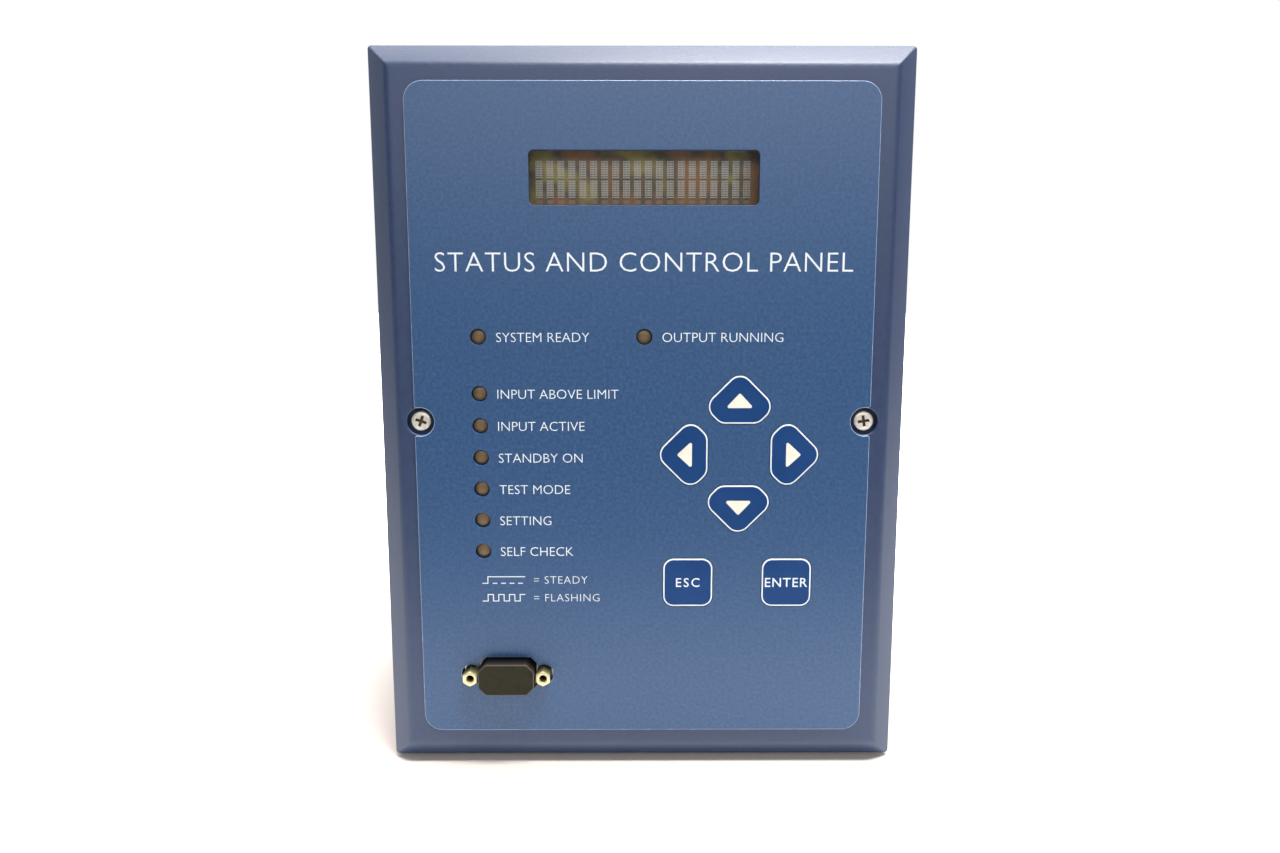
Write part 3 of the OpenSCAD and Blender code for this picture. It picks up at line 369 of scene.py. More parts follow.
def corner_arcs(corners, radius):
    """Arcs round the corner centres of an outline, counter-clockwise. Each row holds the centre, the
    radius, the angles of the edges' outward directions before and after it, and 1 for outward."""
    at = np.array(corners, float)
    step = np.roll(at, -1, axis=0) - at
    after = np.arctan2(-step[:, 0], step[:, 1])
    before = np.roll(after, 1)
    after = before + (after - before) % math.tau
    return np.column_stack([at, np.full(len(at), radius), before, after, np.ones(len(at))])


def ring_arcs(x, z, radius):
    """Four quarter arcs that close a circle."""
    start = np.arange(4) * QUARTER
    same = np.ones(4)
    return np.column_stack([x * same, z * same, radius * same, start, start + QUARTER, same])


def box_corners(width, height, radius, x=0.0, z=0.0):
    """Corner centres of a rectangle with rounded corners, counter-clockwise."""
    half = np.array([width / 2 - radius, height / 2 - radius])
    return np.array([x, z]) + half * np.array([[-1, -1], [1, -1], [1, 1], [-1, 1]])


def cut_corners(width, height, cut, radius, x=0.0, z=0.0):
    """Corner centres of a rectangle whose corners are cut at 45 degrees and then rounded."""
    side, top = width / 2 - radius, height / 2 - radius
    leg = cut - radius * (2 - math.sqrt(2))
    right = np.array([[side - leg, -top], [side, leg - top], [side, top - leg], [side - leg, top]])
    return np.array([x, z]) + np.concatenate([right, -right])


def quarter_turns(points, count):
    """Points of X and Z turned counter-clockwise by a number of quarters."""
    cos, sin = round(math.cos(count * QUARTER)), round(math.sin(count * QUARTER))
    return points @ np.array([[cos, sin], [-sin, cos]])


def carried(arcs, profile, steps=9):
    """Profile carried round an outline: a row for each (growth, depth) pair, where an outward arc's
    radius gains the growth, an inward arc's loses it, and the depth is Y."""
    grow, depth = np.array(profile, float).T
    angle = arcs[:, 3:4] + (arcs[:, 4:5] - arcs[:, 3:4]) * np.linspace(0, 1, steps)
    radius = (arcs[:, 2] + grow[:, None] * arcs[:, 5])[:, :, None]
    x = arcs[:, 0:1] + radius * np.cos(angle)
    z = arcs[:, 1:2] + radius * np.sin(angle)
    y = np.broadcast_to(depth[:, None, None], x.shape)
    return np.stack([x, y, z], -1).reshape(len(grow), -1, 3)


def arc_profile(grow, depth, radius, first, last, steps):
    """Rounded edge of a profile: points on a circle between two angles in degrees, where 0 is towards a
    larger growth, 90 to the back, 180 towards a smaller growth and 270 to the front."""
    angle = np.radians(np.linspace(first, last, steps))
    return np.column_stack([grow + radius * np.cos(angle), depth + radius * np.sin(angle)])


def band(rows, inks=0):
    """Skin over closed rows: a quad joins each pair of neighbours on one row to those on the next. The
    inks are the numbers of the strips' finishes."""
    count, span = rows.shape[:2]
    here = np.arange(count * span).reshape(count, span)
    ahead = np.roll(here, -1, axis=1)
    quads = np.stack([here[:-1], ahead[:-1], ahead[1:], here[1:]], -1).reshape(-1, 4)
    return rows.reshape(-1, 3), quads, np.repeat(np.broadcast_to(inks, count - 1), span)


def lid(row, ink=0):
    """One flat face over a closed row."""
    return row, np.arange(len(row))[None, :], np.array([ink])


def sheet(outer, holes):
    """Flat fill of a closed row round its holes: a Delaunay fill of the loops, kept where a ray from
    a triangle's middle crosses them an odd number of times."""
    loops = [outer, *holes]
    flat = np.concatenate(loops)[:, [0, 2]]
    ends = np.cumsum([len(loop) for loop in loops])
    ahead = np.arange(1, len(flat) + 1)
    ahead[ends - 1] = np.concatenate([[0], ends[:-1]])
    edges = np.column_stack([np.arange(len(flat)), ahead])
    found = delaunay_2d_cdt(flat.tolist(), edges.tolist(), [], 0, FILL_TOLERANCE)
    points, triangles = np.array(found[0]), np.array(found[2])
    middle = points[triangles].mean(1)[:, None, :]
    a, b = flat, flat[ahead]
    crossed = (a[:, 1] > middle[..., 1]) != (b[:, 1] > middle[..., 1])
    rise = np.where(a[:, 1] == b[:, 1], 1, b[:, 1] - a[:, 1])
    at_x = a[:, 0] + (middle[..., 1] - a[:, 1]) * (b[:, 0] - a[:, 0]) / rise
    odd = (crossed & (at_x > middle[..., 0])).sum(1) % 2 == 1
    spots = np.insert(points, 1, outer[0, 1], axis=1)
    return spots, triangles[odd], np.zeros(odd.sum(), int)


def piece(name, shells, finishes, body, replaced=()):
    """Object made of skins in millimetres: their points are merged and faces turned outwards. Quads are
    shaded smooth up to the crease angle, and flat fills stay flat."""
    points = np.concatenate([spots for spots, _, _ in shells])
    starts = np.cumsum([0] + [len(spots) for spots, _, _ in shells])
    faces = [(face + start).tolist() for (_, face, _), start in zip(shells, starts)]
    inks = np.concatenate([ink for _, _, ink in shells])
    smooth = np.concatenate([np.full(len(face), face.shape[1] == 4) for _, face, _ in shells])
    mesh = bpy.data.meshes.new(name)
    mesh.from_pydata(points * MM, [], sum(faces, []))
    mesh.polygons.foreach_set("material_index", inks.astype(np.int32))
    mesh.polygons.foreach_set("use_smooth", smooth)
    work = bmesh.new()
    work.from_mesh(mesh)
    bmesh.ops.remove_doubles(work, verts=work.verts, dist=MERGE * MM)
    bmesh.ops.recalc_face_normals(work, faces=work.faces)
    work.to_mesh(mesh)
    work.free()
    smooth = np.empty(len(mesh.polygons), bool)
    mesh.polygons.foreach_get("use_smooth", smooth)
    mesh.set_sharp_from_angle(angle=math.radians(CREASE))
    mesh.polygons.foreach_set("use_smooth", smooth)
    for material in finishes:
        mesh.materials.append(material)
    thing = bpy.data.objects.new(name, mesh)
    bpy.context.scene.collection.objects.link(thing)
    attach(thing, body)
    if replaced:
        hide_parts(*replaced)


bezel_w, _, bezel_h = bezel_high - bezel_low
bezel_front, bezel_back = bezel_low[1], bezel_high[1]
wall_back = bezel_front + BEZEL_WALL
recess_floor = bezel_front + RECESS_DEPTH
overlay_low, overlay_high = corners_of("front_overlay")
overlay_front = overlay_low[1]
_, screws_high = corners_of("front_screws")
screw_x = screws_high[0] - HEAD_R

# Arrow keys are drawn pointing up, and quarter turns point each its own way
arrow_w, _, arrow_h = np.ptp(corners_of("key_up"), axis=0) - 2 * KEY_FLANGE
arrow_tip, arrow_side = arrow_h / 2 - ARROW_R, arrow_w / 2 - ARROW_R
arrow_shoulder = arrow_tip - arrow_side
arrow_foot = arrow_side - arrow_shoulder - arrow_tip
arrow_corners = np.array([[0, arrow_tip], [-arrow_side, arrow_shoulder], [-arrow_foot, -arrow_tip],
    [arrow_foot, -arrow_tip], [arrow_side, arrow_shoulder]])
command_side, _, _ = np.ptp(corners_of("key_escape"), axis=0) - 2 * KEY_FLANGE
command_corners = box_corners(command_side, command_side, COMMAND_R)
key_plan = {
    "key_up": ("up_key", 0, arrow_corners, ARROW_R),
    "key_down": ("down_key", 2, arrow_corners, ARROW_R),
    "key_left": ("left_key", 1, arrow_corners, ARROW_R),
    "key_right": ("right_key", 3, arrow_corners, ARROW_R),
    "key_escape": ("escape_key", 0, command_corners, COMMAND_R),
    "key_enter": ("enter_key", 0, command_corners, COMMAND_R),
}
key_spots = {name: np.mean(corners_of(name), axis=0)[[0, 2]] for name in key_plan}
key_arcs = {name: corner_arcs(key_spots[name] + quarter_turns(corners, turns), radius)
    for name, (_, turns, corners, radius) in key_plan.items()}

# Two lamps stand side by side above a column of lamps
lamps_low, lamps_high = corners_of("status_lamps")
lamp_x, _, lamp_last_z = lamps_low + LAMP_RIM_R
lamp_second_x, _, lamp_top_z = lamps_high - LAMP_RIM_R
lamp_spots = [(lamp_x, lamp_top_z), (lamp_second_x, lamp_top_z)]
lamp_spots += [(lamp_x, lamp_last_z + i * LAMP_PITCH) for i in reversed(range(LAMP_COUNT))]

# Port's opening lies round its shell, and a lobe round each jackscrew
port_x, _, port_z = np.mean(corners_of("port_shell"), axis=0)
jack_low, jack_high = corners_of("port_jackscrews")
jack_reach = (jack_high[0] - jack_low[0] - JACK_FLATS) / 2


def port_arcs():
    """Port's opening: a cut-corner middle, a round lobe at each jackscrew, and a small inward arc in
    each neck between them, tangent to the lobe and to the middle's upright side."""
    middle = corner_arcs(cut_corners(PORT_W, PORT_H, PORT_CUT, PORT_R), PORT_R)
    neck_x = PORT_W / 2 + PORT_NECK_R
    neck_z = math.sqrt((PORT_LOBE_R + PORT_NECK_R) ** 2 - (jack_reach - neck_x) ** 2)
    tilt = math.atan2(neck_z, neck_x - jack_reach)
    right = np.array([
        [neck_x, -neck_z, PORT_NECK_R, math.pi, math.pi - tilt, -1],
        [jack_reach, 0, PORT_LOBE_R, -tilt, tilt, 1],
        [neck_x, neck_z, PORT_NECK_R, tilt + math.pi, math.pi, -1],
    ])
    left = right * np.array([-1, -1, 1, 1, 1, 1]) + np.array([0, 0, 0, math.pi, math.pi, 0])
    arcs = np.concatenate([middle[:2], right, middle[2:6], left, middle[6:]])
    return arcs + np.array([port_x, port_z, 0, 0, 0, 0])


pane_low, pane_high = corners_of("display_window")
window_x, _, window_z = (pane_low + pane_high) / 2
window_w, _, window_h = pane_high - pane_low - 2 * PANE_LAP
window_arcs = corner_arcs(box_corners(window_w, window_h, WINDOW_R, window_x, window_z), WINDOW_R)
opening_arcs = [window_arcs, port_arcs()]
opening_arcs += [arcs + np.array([0, 0, KEY_GAP, 0, 0, 0]) for arcs in key_arcs.values()]
opening_arcs += [ring_arcs(x, z, LAMP_HOLE_R) for x, z in lamp_spots]


def rim_row(inset, depth, radius):
    """Row round the bezel at an inset from its edge."""
    corners = box_corners(bezel_w - 2 * inset, bezel_h - 2 * inset, radius)
    return carried(corner_arcs(corners, radius), [(0, depth)], steps=7)[0]


slope = math.atan2(BEZEL_CHAMFER_D, BEZEL_CHAMFER_W)
chamfer_way = FRONT - math.degrees(slope)
roll_inset = BEZEL_CHAMFER_W + BEZEL_ROLL * math.tan(slope / 2)
edge_depth = BEZEL_CHAMFER_D + BEZEL_EDGE * math.tan((QUARTER - slope) / 2)
rim_profile = np.concatenate([
    [(RIM_INSET, bezel_front)],
    arc_profile(roll_inset, bezel_front + BEZEL_ROLL, BEZEL_ROLL, FRONT, chamfer_way, steps=9),
    arc_profile(BEZEL_EDGE, bezel_front + edge_depth, BEZEL_EDGE, chamfer_way, SMALLER, steps=7),
    [(0, bezel_back)],
])
rim_rows = [rim_row(inset, depth, max(BEZEL_CORNER - inset, BEZEL_MITRE)) for inset, depth in rim_profile]
rim_rows += [rim_row(BEZEL_POCKET, depth, BEZEL_POCKET_R) for depth in (bezel_back, wall_back)]
rim_rows += [rim_row(RIM_INSET, wall_back, BEZEL_MITRE)]
recess_profile = np.concatenate([
    arc_profile(RECESS_R + RECESS_LIP, bezel_front + RECESS_LIP, RECESS_LIP, FRONT, SMALLER, steps=6),
    [(RECESS_R, recess_floor), (SCREW_HOLE_R, recess_floor), (SCREW_HOLE_R, bezel_back),
     (BOSS_R, bezel_back), (BOSS_R, wall_back)],
])
cuts = [carried(ring_arcs(side * screw_x, 0, 0), recess_profile, steps=15) for side in (-1, 1)]
cuts += [carried(arcs, [(0, bezel_front), (0, wall_back)]) for arcs in opening_arcs]
bezel_shells = [band(np.array(rim_rows))] + [band(rows) for rows in cuts]
bezel_shells += [sheet(rim_rows[end], [rows[end] for rows in cuts]) for end in (0, -1)]
bezel_paint = finish("bezel_paint", [(20, 40, 74), (26, 47, 82)],
    rough=(0.42, 0.48), cloud=2, grain=0.7, relief=0.04, Specular_IOR_Level=0.7)
piece("bezel_casting", bezel_shells, [bezel_paint], "housing", ["bezel"])

# Display: a smoked clear pane behind the opening, and behind it a flat vacuum tube of glass with two rows
# of twenty dot characters, each row underlined, and a row of contact pads. The glass is painted a light
# brownish tone with ochre and orange patches: painted reflection, and painted light for the recess's shade.
PRINT_T = 0.03
CELL_COLUMNS = 20
CELL_FIRST_X, CELL_LAST_X = -34.15, 34.45
CELL_TOPS = (85.5, 79.2)
CELL_W, CELL_H = 2.35, 5.15
DOT_COLUMNS, DOT_ROWS, DOT_FILL = 5, 7, 0.72
UNDERLINE_DROP, UNDERLINE_H = 0.35, 0.26
PAD_Z, PAD_W, PAD_H, PAD_R = 72.15, 2.2, 1.3, 0.5


def slabs(x, z, width, height, face):
    """Closed boxes as thick as a print, centred on arrays of X and Z and standing on a face."""
    x, z = np.broadcast_arrays(x, z)
    centre = np.stack([x.ravel(), np.full(x.size, face - PRINT_T / 2), z.ravel()], 1)
    signs = np.indices((2, 2, 2)).reshape(3, 8).T * 2 - 1
    spots = centre[:, None, :] + signs * np.array([width, PRINT_T, height]) / 2
    sides = np.array([[0, 1, 3, 2], [4, 6, 7, 5], [0, 4, 5, 1], [2, 3, 7, 6], [0, 2, 6, 4], [1, 5, 7, 3]])
    faces = sides + 8 * np.arange(x.size)[:, None, None]
    return spots.reshape(-1, 3), faces.reshape(-1, 4), np.zeros(6 * x.size, int)


def stamped(arcs, face, ink):
    """Closed solid as thick as a print, with an outline of arcs, standing on a face."""
    rows = carried(arcs, [(0, face), (0, face - PRINT_T)], steps=5)
    return [band(rows, ink), lid(rows[0], ink), lid(rows[1], ink)]


tube_low, _ = corners_of("display_tube")
tube_front = tube_low[1]
cell_x = np.linspace(CELL_FIRST_X, CELL_LAST_X, CELL_COLUMNS)
dot_w, dot_h = CELL_W / DOT_COLUMNS, CELL_H / DOT_ROWS
dot_x = cell_x[:, None, None] + (np.arange(DOT_COLUMNS) - (DOT_COLUMNS - 1) / 2)[:, None] * dot_w
dot_z = -(np.arange(DOT_ROWS) + 0.5) * dot_h
display_shells = []
for top in CELL_TOPS:
    display_shells.append(slabs(dot_x, top + dot_z, dot_w * DOT_FILL, dot_h * DOT_FILL, tube_front))
    display_shells.append(slabs(cell_x, top - CELL_H - UNDERLINE_DROP, CELL_W, UNDERLINE_H, tube_front))
for x in cell_x:
    pad_arcs = corner_arcs(box_corners(PAD_W, PAD_H, PAD_R, x, PAD_Z), PAD_R)
    display_shells += stamped(pad_arcs, tube_front, ink=1)
phosphor = finish("phosphor_dots", [(244, 240, 230), (252, 250, 242)],
    rough=(0.6, 0.7), cloud=8, grain=0.3, relief=0.002)
pad_metal = finish("display_pads", [(206, 150, 124), (176, 150, 128)],
    rough=(0.4, 0.5), cloud=12, grain=0.3, relief=0.002)
piece("display_dots", display_shells, [phosphor, pad_metal], "housing")
# The tube's brownish, ochre and orange patches are painted reflection, and its tone is painted light against
# the shade in the recess
tube_shades_painted_reflection = [(130, 122, 122), (136, 124, 112), (196, 150, 108), (134, 124, 106), (200, 184, 114),
    (148, 138, 126)]
tube = finish("tube_glass", tube_shades_painted_reflection,
    rough=(0.1, 0.16), cloud=24, grain=1.0, relief=0.001, Coat_Weight=0.6, Coat_Roughness=0.05)
dress(tube, "display_tube")
pane = finish("clear_pane", [(30, 30, 28), (38, 37, 34)],
    rough=(0.03, 0.05), cloud=30, grain=2.0, relief=0.001, Alpha=0.09, Specular_IOR_Level=1.0)
dress(pane, "display_window")

# Status lamps: round-nosed resin lamps soldered to the front board, standing in the openings just
# below the overlay's face. The unlit resin is a brownish amber, greyer towards its rim, where the tone
# is painted light against the shade in the opening.
LAMP_R, LAMP_NOSE, LAMP_RIM_T = 2.5, 0.7, 1.0
# Tones from the nose to the rim: the resin's amber, then greyer tones painted light against the opening's
# shade
LAMP_TONES_AND_PAINTED_LIGHT = [(118, 92, 60), (104, 86, 60), (92, 84, 66), (90, 86, 72)]


def by_depth(made, shades, first, last):
    """Finish whose colour runs through the shades between two depths along Y in millimetres."""
    tree = made.node_tree
    depth = mapped(tree, axes(tree, "Object"), "Y", (first * MM, last * MM, 0, 1))
    ramp = colour_ramp(tree, [tone(*shade) for shade in shades], 0, 1)
    link(tree, depth, 0, ramp, 0)
    link(tree, ramp, 0, tree.nodes["Principled BSDF"], "Base Color")
    return made


lamp_tip, lamp_seat = lamps_low[1], lamps_high[1]
lamp_nose = arc_profile(0, 0, 1, FRONT, LARGER, steps=10) * np.array([LAMP_R, LAMP_NOSE])
lamp_profile = np.concatenate([
    lamp_nose + np.array([0, lamp_tip + LAMP_NOSE]),
    [(LAMP_R, lamp_seat - LAMP_RIM_T), (LAMP_RIM_R, lamp_seat - LAMP_RIM_T), (LAMP_RIM_R, lamp_seat),
     (0, lamp_seat)],
])
lamp_shells = [band(carried(ring_arcs(x, z, 0), lamp_profile, steps=8)) for x, z in lamp_spots]
resin = finish("lamp_resin", LAMP_TONES_AND_PAINTED_LIGHT,
    rough=(0.34, 0.42), cloud=2, grain=0.5, relief=0.01, Coat_Weight=0.12, Coat_Roughness=0.2)
lamp_resin = by_depth(resin, LAMP_TONES_AND_PAINTED_LIGHT, lamp_tip, lamp_tip + LAMP_NOSE)
piece("lamp_set", lamp_shells, [lamp_resin], "housing", ["status_lamps"])

# Keys: hollow film-faced pads, each with a holding flange behind the wall and a stem in its switch.
# The face is printed with a white border, and with a cream arrow or a white word.
KEY_EDGE, KEY_EDGE_STEPS, KEY_BORDER, KEY_WALL = 0.16, 5, 0.48, 1.4
KEY_FLANGE_T, KEY_FLANGE_GAP = 1.0, 0.1
STEM_R = 1.65
MARK_W, MARK_BASE, MARK_TIP, MARK_R = 9.1, -2.75, 2.05, 0.5
KEY_CAP, KEY_WEIGHT = 3.15, 0.004
KEY_WORDS = {"key_escape": ("ESC", 1.25), "key_enter": ("ENTER", 1.12)}
LETTER_DEPTH, LETTER_STEPS = 0.01, 3


def lettering(words, cap, spread, weight):
    """Words as a thin solid: points from the left end of the baseline in millimetres, with the
    capitals' height given, Y at 0 on the face and -1 on the ink's front, and their faces."""
    curve = bpy.data.curves.new("lettering", "FONT")
    curve.body = words
    curve.size = 1.0
    curve.extrude = LETTER_DEPTH
    curve.offset = weight
    curve.space_character = spread
    curve.resolution_u = LETTER_STEPS
    holder = bpy.data.objects.new("lettering", curve)
    bpy.context.scene.collection.objects.link(holder)
    ready = holder.evaluated_get(bpy.context.evaluated_depsgraph_get())
    mesh = bpy.data.meshes.new_from_object(ready)
    points = np.empty(len(mesh.vertices) * 3)
    mesh.vertices.foreach_get("co", points)
    x, z, front = points.reshape(-1, 3).T
    faces = [list(face.vertices) for face in mesh.polygons]
    bpy.data.objects.remove(holder)
    bpy.data.curves.remove(curve)
    bpy.data.meshes.remove(mesh)
    scale = cap / np.ptp(z)
    return np.column_stack([(x - x.min()) * scale, -(front > 0).astype(float), z * scale]), faces


def printed(words, x, z, face, cap, spread, weight, align=0.0, ink=0):
    """Skins of a line of words whose capitals are centred on z, at `face` along Y. Align is the share
    of its length that lies left of x."""
    spots, faces = lettering(words, cap, spread, weight)
    length = spots[:, 0].max()
    middle = (spots[:, 2].max() + spots[:, 2].min()) / 2
    spots = spots * np.array([1, PRINT_T, 1]) + np.array([x - align * length, face, z - middle])
    sizes = sorted({len(corners) for corners in faces})
    alike = [np.array([corners for corners in faces if len(corners) == size]) for size in sizes]
    return [(spots, rows, np.full(len(rows), ink)) for rows in alike]


key_film = finish("key_film", [(17, 53, 101), (20, 57, 106)],
    rough=(0.34, 0.42), cloud=12, grain=0.25, relief=0.006, Specular_IOR_Level=0.2)
white_ink = finish("white_ink", [(203, 209, 215), (213, 218, 221)],
    rough=(0.45, 0.55), cloud=5, grain=0.2, relief=0.002)
cream_ink = finish("cream_ink", [(211, 206, 190), (217, 212, 198)],
    rough=(0.45, 0.55), cloud=5, grain=0.2, relief=0.002)
mark_foot = MARK_W / 2 - 2 * MARK_R
mark_low, mark_top = MARK_BASE + MARK_R, MARK_TIP - MARK_R
mark_corners = np.array([[0, mark_top], [-mark_foot, mark_low], [mark_foot, mark_low]])
flange_front = wall_back + KEY_FLANGE_GAP
flange_back = flange_front + KEY_FLANGE_T
for name, (body, turns, corners, radius) in key_plan.items():
    key_low, key_high = corners_of(name)
    face, stem_end = key_low[1], key_high[1]
    roof = face + KEY_WALL
    profile = np.concatenate([
        [(-KEY_WALL, roof), (-KEY_WALL, flange_back), (KEY_FLANGE, flange_back), (KEY_FLANGE, flange_front),
         (0, flange_front)],
        arc_profile(-KEY_EDGE, face + KEY_EDGE, KEY_EDGE, LARGER, FRONT, steps=KEY_EDGE_STEPS),
        [(-KEY_BORDER, face)],
    ])
    inks = np.zeros(len(profile) - 1, int)
    inks[-KEY_EDGE_STEPS:] = 1
    rows = carried(key_arcs[name], profile)
    stem = carried(ring_arcs(*key_spots[name], STEM_R), [(0, roof), (0, stem_end)], steps=7)
    shells = [band(rows, inks), lid(rows[0]), lid(rows[-1]), band(stem), lid(stem[0]), lid(stem[-1])]
    if name in KEY_WORDS:
        words, spread = KEY_WORDS[name]
        shells += printed(words, *key_spots[name], face, KEY_CAP, spread, KEY_WEIGHT, align=0.5, ink=1)
    else:
        mark = key_spots[name] + quarter_turns(mark_corners, turns)
        shells += stamped(corner_arcs(mark, MARK_R), face, ink=2)
    piece(name + "_pad", shells, [key_film, white_ink, cream_ink], body, [name])

# Serial port: a plated D shell with jackscrews of yellow-passivated steel, and a soft black rubber
# cap pushed over the shell. The cap's sides and the jackscrews are painted darker towards the back:
# painted shade in the opening round them.
CAP_CUT, CAP_R, CAP_EDGE, CAP_FLOOR = 2.6, 1.5, 0.35, 3.0
CAP_SIDES_PAINTED_SHADE = [(56, 46, 38), (38, 32, 27), (8, 8, 10), (4, 4, 6)]
MOUTH_W, MOUTH_H, MOUTH_R = 16.6, 8.2, 2.15
JACK_FACE_R, JACK_SHANK_R = 2.2, 1.35
JACK_BORE_R, JACK_BORE_DEPTH = 1.2, 6.0
JACK_THREAD, JACK_THREAD_DEPTH, JACK_THREAD_STEPS = 0.64, 0.16, 6
JACK_LEAD_R, JACK_LEAD = 1.56, 0.2
JACK_TONES_PAINTED_SHADE = [(214, 205, 162), (150, 143, 98), (106, 101, 64), (78, 74, 46)]
JACK_CONE = math.tan(math.radians(30))
JACK_POINTS = 72

cap_low, cap_high = corners_of("port_cap")
cap_w, _, cap_h = cap_high - cap_low
cap_arcs = corner_arcs(cut_corners(cap_w, cap_h, CAP_CUT, CAP_R, port_x, port_z), CAP_R)
cap_profile = np.concatenate([
    [(0, cap_high[1])],
    arc_profile(-CAP_EDGE, cap_low[1] + CAP_EDGE, CAP_EDGE, LARGER, FRONT, steps=7),
])
cap_inks = np.ones(len(cap_profile) - 1, int)
cap_inks[0] = 2
cap_rows = carried(cap_arcs, cap_profile, steps=7)
mouth_arcs = corner_arcs(box_corners(MOUTH_W, MOUTH_H, MOUTH_R, port_x, port_z), MOUTH_R)
mouth_rows = carried(mouth_arcs, [(0, cap_high[1]), (0, cap_low[1] + CAP_FLOOR)], steps=7)
cap_shells = [band(cap_rows, cap_inks), lid(cap_rows[-1]), sheet(cap_rows[0], [mouth_rows[0]]),
    band(mouth_rows), lid(mouth_rows[-1])]
cap_rubber = finish("cap_rubber", [(30, 28, 16), (38, 35, 21), (33, 31, 18)],
    rough=(0.5, 0.62), cloud=5, grain=0.5, relief=0.03, Specular_IOR_Level=0.15)
# The rounded rim is lighter all round: partly wear, partly a painted highlight
cap_wear_and_highlight = finish("cap_edge_wear_and_highlight", [(56, 51, 40), (66, 60, 48)],
    rough=(0.45, 0.55), cloud=3, grain=0.4, relief=0.02)
# The sides are painted darker towards the back: painted shade in the opening round the cap
cap_side_painted_shade = finish("cap_side_painted_shade", CAP_SIDES_PAINTED_SHADE,
    rough=(0.5, 0.62), cloud=5, grain=0.5, relief=0.03, Specular_IOR_Level=0.15)
cap_finishes = [cap_rubber, cap_wear_and_highlight, by_depth(cap_side_painted_shade, CAP_SIDES_PAINTED_SHADE, cap_low[1], overlay_front)]
piece("dust_cap_rubber", cap_shells, cap_finishes, "dust_cap", ["port_cap"])


def jackscrew(x, z):
    """Hexagon with points up and down, its front corners cut by a cone, and a threaded bore. Across
    an angle the hexagon's radius is half its flats over the cosine of the angle to the nearest flat."""
    front, end = jack_low[1], jack_high[1]
    angle = np.linspace(0, math.tau, JACK_POINTS, endpoint=False)
    off_flat = (angle + math.pi / 6) % (math.pi / 3) - math.pi / 6
    hexagon = JACK_FLATS / 2 / np.cos(off_flat)
    cone = front + np.maximum(hexagon - JACK_FACE_R, 0) * JACK_CONE
    turn_y = np.arange(front + JACK_LEAD, front + JACK_BORE_DEPTH, JACK_THREAD / JACK_THREAD_STEPS)
    phase = (turn_y[:, None] / JACK_THREAD - angle / math.tau) % 1
    thread_r = JACK_BORE_R + JACK_THREAD_DEPTH * np.abs(2 * phase - 1)
    thread_y = np.broadcast_to(turn_y[:, None], thread_r.shape)
    steps = [(JACK_SHANK_R, end), (JACK_SHANK_R, wall_back), (hexagon, wall_back), (hexagon, cone),
        (JACK_FACE_R, front), (JACK_LEAD_R, front)]
    radius = np.concatenate([[np.broadcast_to(r, JACK_POINTS) for r, _ in steps], thread_r])
    depth = np.concatenate([[np.broadcast_to(y, JACK_POINTS) for _, y in steps], thread_y])
    rows = np.stack([x + radius * np.cos(angle), depth, z + radius * np.sin(angle)], -1)
    return [band(rows), lid(rows[0]), lid(rows[-1])]


jack_shells = [shell for side in (-1, 1) for shell in jackscrew(port_x + side * jack_reach, port_z)]
# The jackscrews are painted darker towards the back: painted shade in the opening
zinc = finish("jackscrew_zinc_painted_shade", JACK_TONES_PAINTED_SHADE,
    rough=(0.3, 0.42), cloud=2, grain=0.2, relief=0.006, Metallic=0.6)
jack_zinc_painted_shade = by_depth(zinc, JACK_TONES_PAINTED_SHADE, jack_low[1], overlay_front)
piece("jackscrew_pair", jack_shells, [jack_zinc_painted_shade], "housing", ["port_jackscrews"])

# Overlay: a blue polyester sheet glued to the bezel, with a fine matt texture, notches round the two
# screws and the same openings as the bezel. Its cut edge is bare and catches the light.
OVERLAY_R, OVERLAY_EDGE, HOLE_EDGE = 6.1, 0.2, 0.1
NOTCH_R, NOTCH_LIP = 4.8, 0.7
overlay_w, _, overlay_h = overlay_high - overlay_low


def overlay_arcs():
    """Rounded rectangle with an inward arc round each screw, and an outward lip arc where each notch
    meets the side, tangent to both."""
    corner = corner_arcs(box_corners(overlay_w, overlay_h, OVERLAY_R), OVERLAY_R)
    lip_x = overlay_w / 2 - NOTCH_LIP
    lip_z = math.sqrt((NOTCH_R + NOTCH_LIP) ** 2 - (lip_x - screw_x) ** 2)
    tilt = math.atan2(lip_z, lip_x - screw_x)
    right = np.array([
        [lip_x, -lip_z, NOTCH_LIP, 0, math.pi - tilt, 1],
        [screw_x, 0, NOTCH_R, -tilt, tilt - math.tau, -1],
        [lip_x, lip_z, NOTCH_LIP, tilt - math.pi, 0, 1],
    ])
    left = right * np.array([-1, -1, 1, 1, 1, 1]) + np.array([0, 0, 0, math.pi, math.pi, 0])
    return np.concatenate([corner[:2], right, corner[2:], left])


edge_profile = np.concatenate([
    arc_profile(-OVERLAY_EDGE, overlay_front + OVERLAY_EDGE, OVERLAY_EDGE, FRONT, LARGER, steps=4),
    [(0, bezel_front)],
])
hole_profile = np.concatenate([
    arc_profile(HOLE_EDGE, overlay_front + HOLE_EDGE, HOLE_EDGE, FRONT, SMALLER, steps=4),
    [(0, bezel_front)],
])
overlay_rows = carried(overlay_arcs(), edge_profile, steps=12)
hole_rows = [carried(arcs, hole_profile) for arcs in opening_arcs]
# Of the openings, only the port's shows its cut edge
hole_inks = [0, 1] + [0] * (len(key_plan) + len(lamp_spots))
overlay_shells = [band(overlay_rows, 1)] + [band(rows, ink) for rows, ink in zip(hole_rows, hole_inks)]
overlay_shells += [sheet(overlay_rows[end], [rows[end] for rows in hole_rows]) for end in (0, -1)]
overlay_film = finish("overlay_film", [(28, 60, 98), (35, 68, 107), (42, 76, 115)],
    rough=(0.35, 0.41), cloud=1.1, grain=0.4, relief=0.025, Specular_IOR_Level=0.6)
overlay_cut = finish("overlay_cut_edge", [(128, 146, 176), (148, 164, 192)],
    rough=(0.2, 0.3), cloud=4, grain=0.3, relief=0.004)
overlay_finishes = [overlay_film, overlay_cut]
piece("overlay_sheet", overlay_shells, overlay_finishes, "housing", ["front_overlay"])

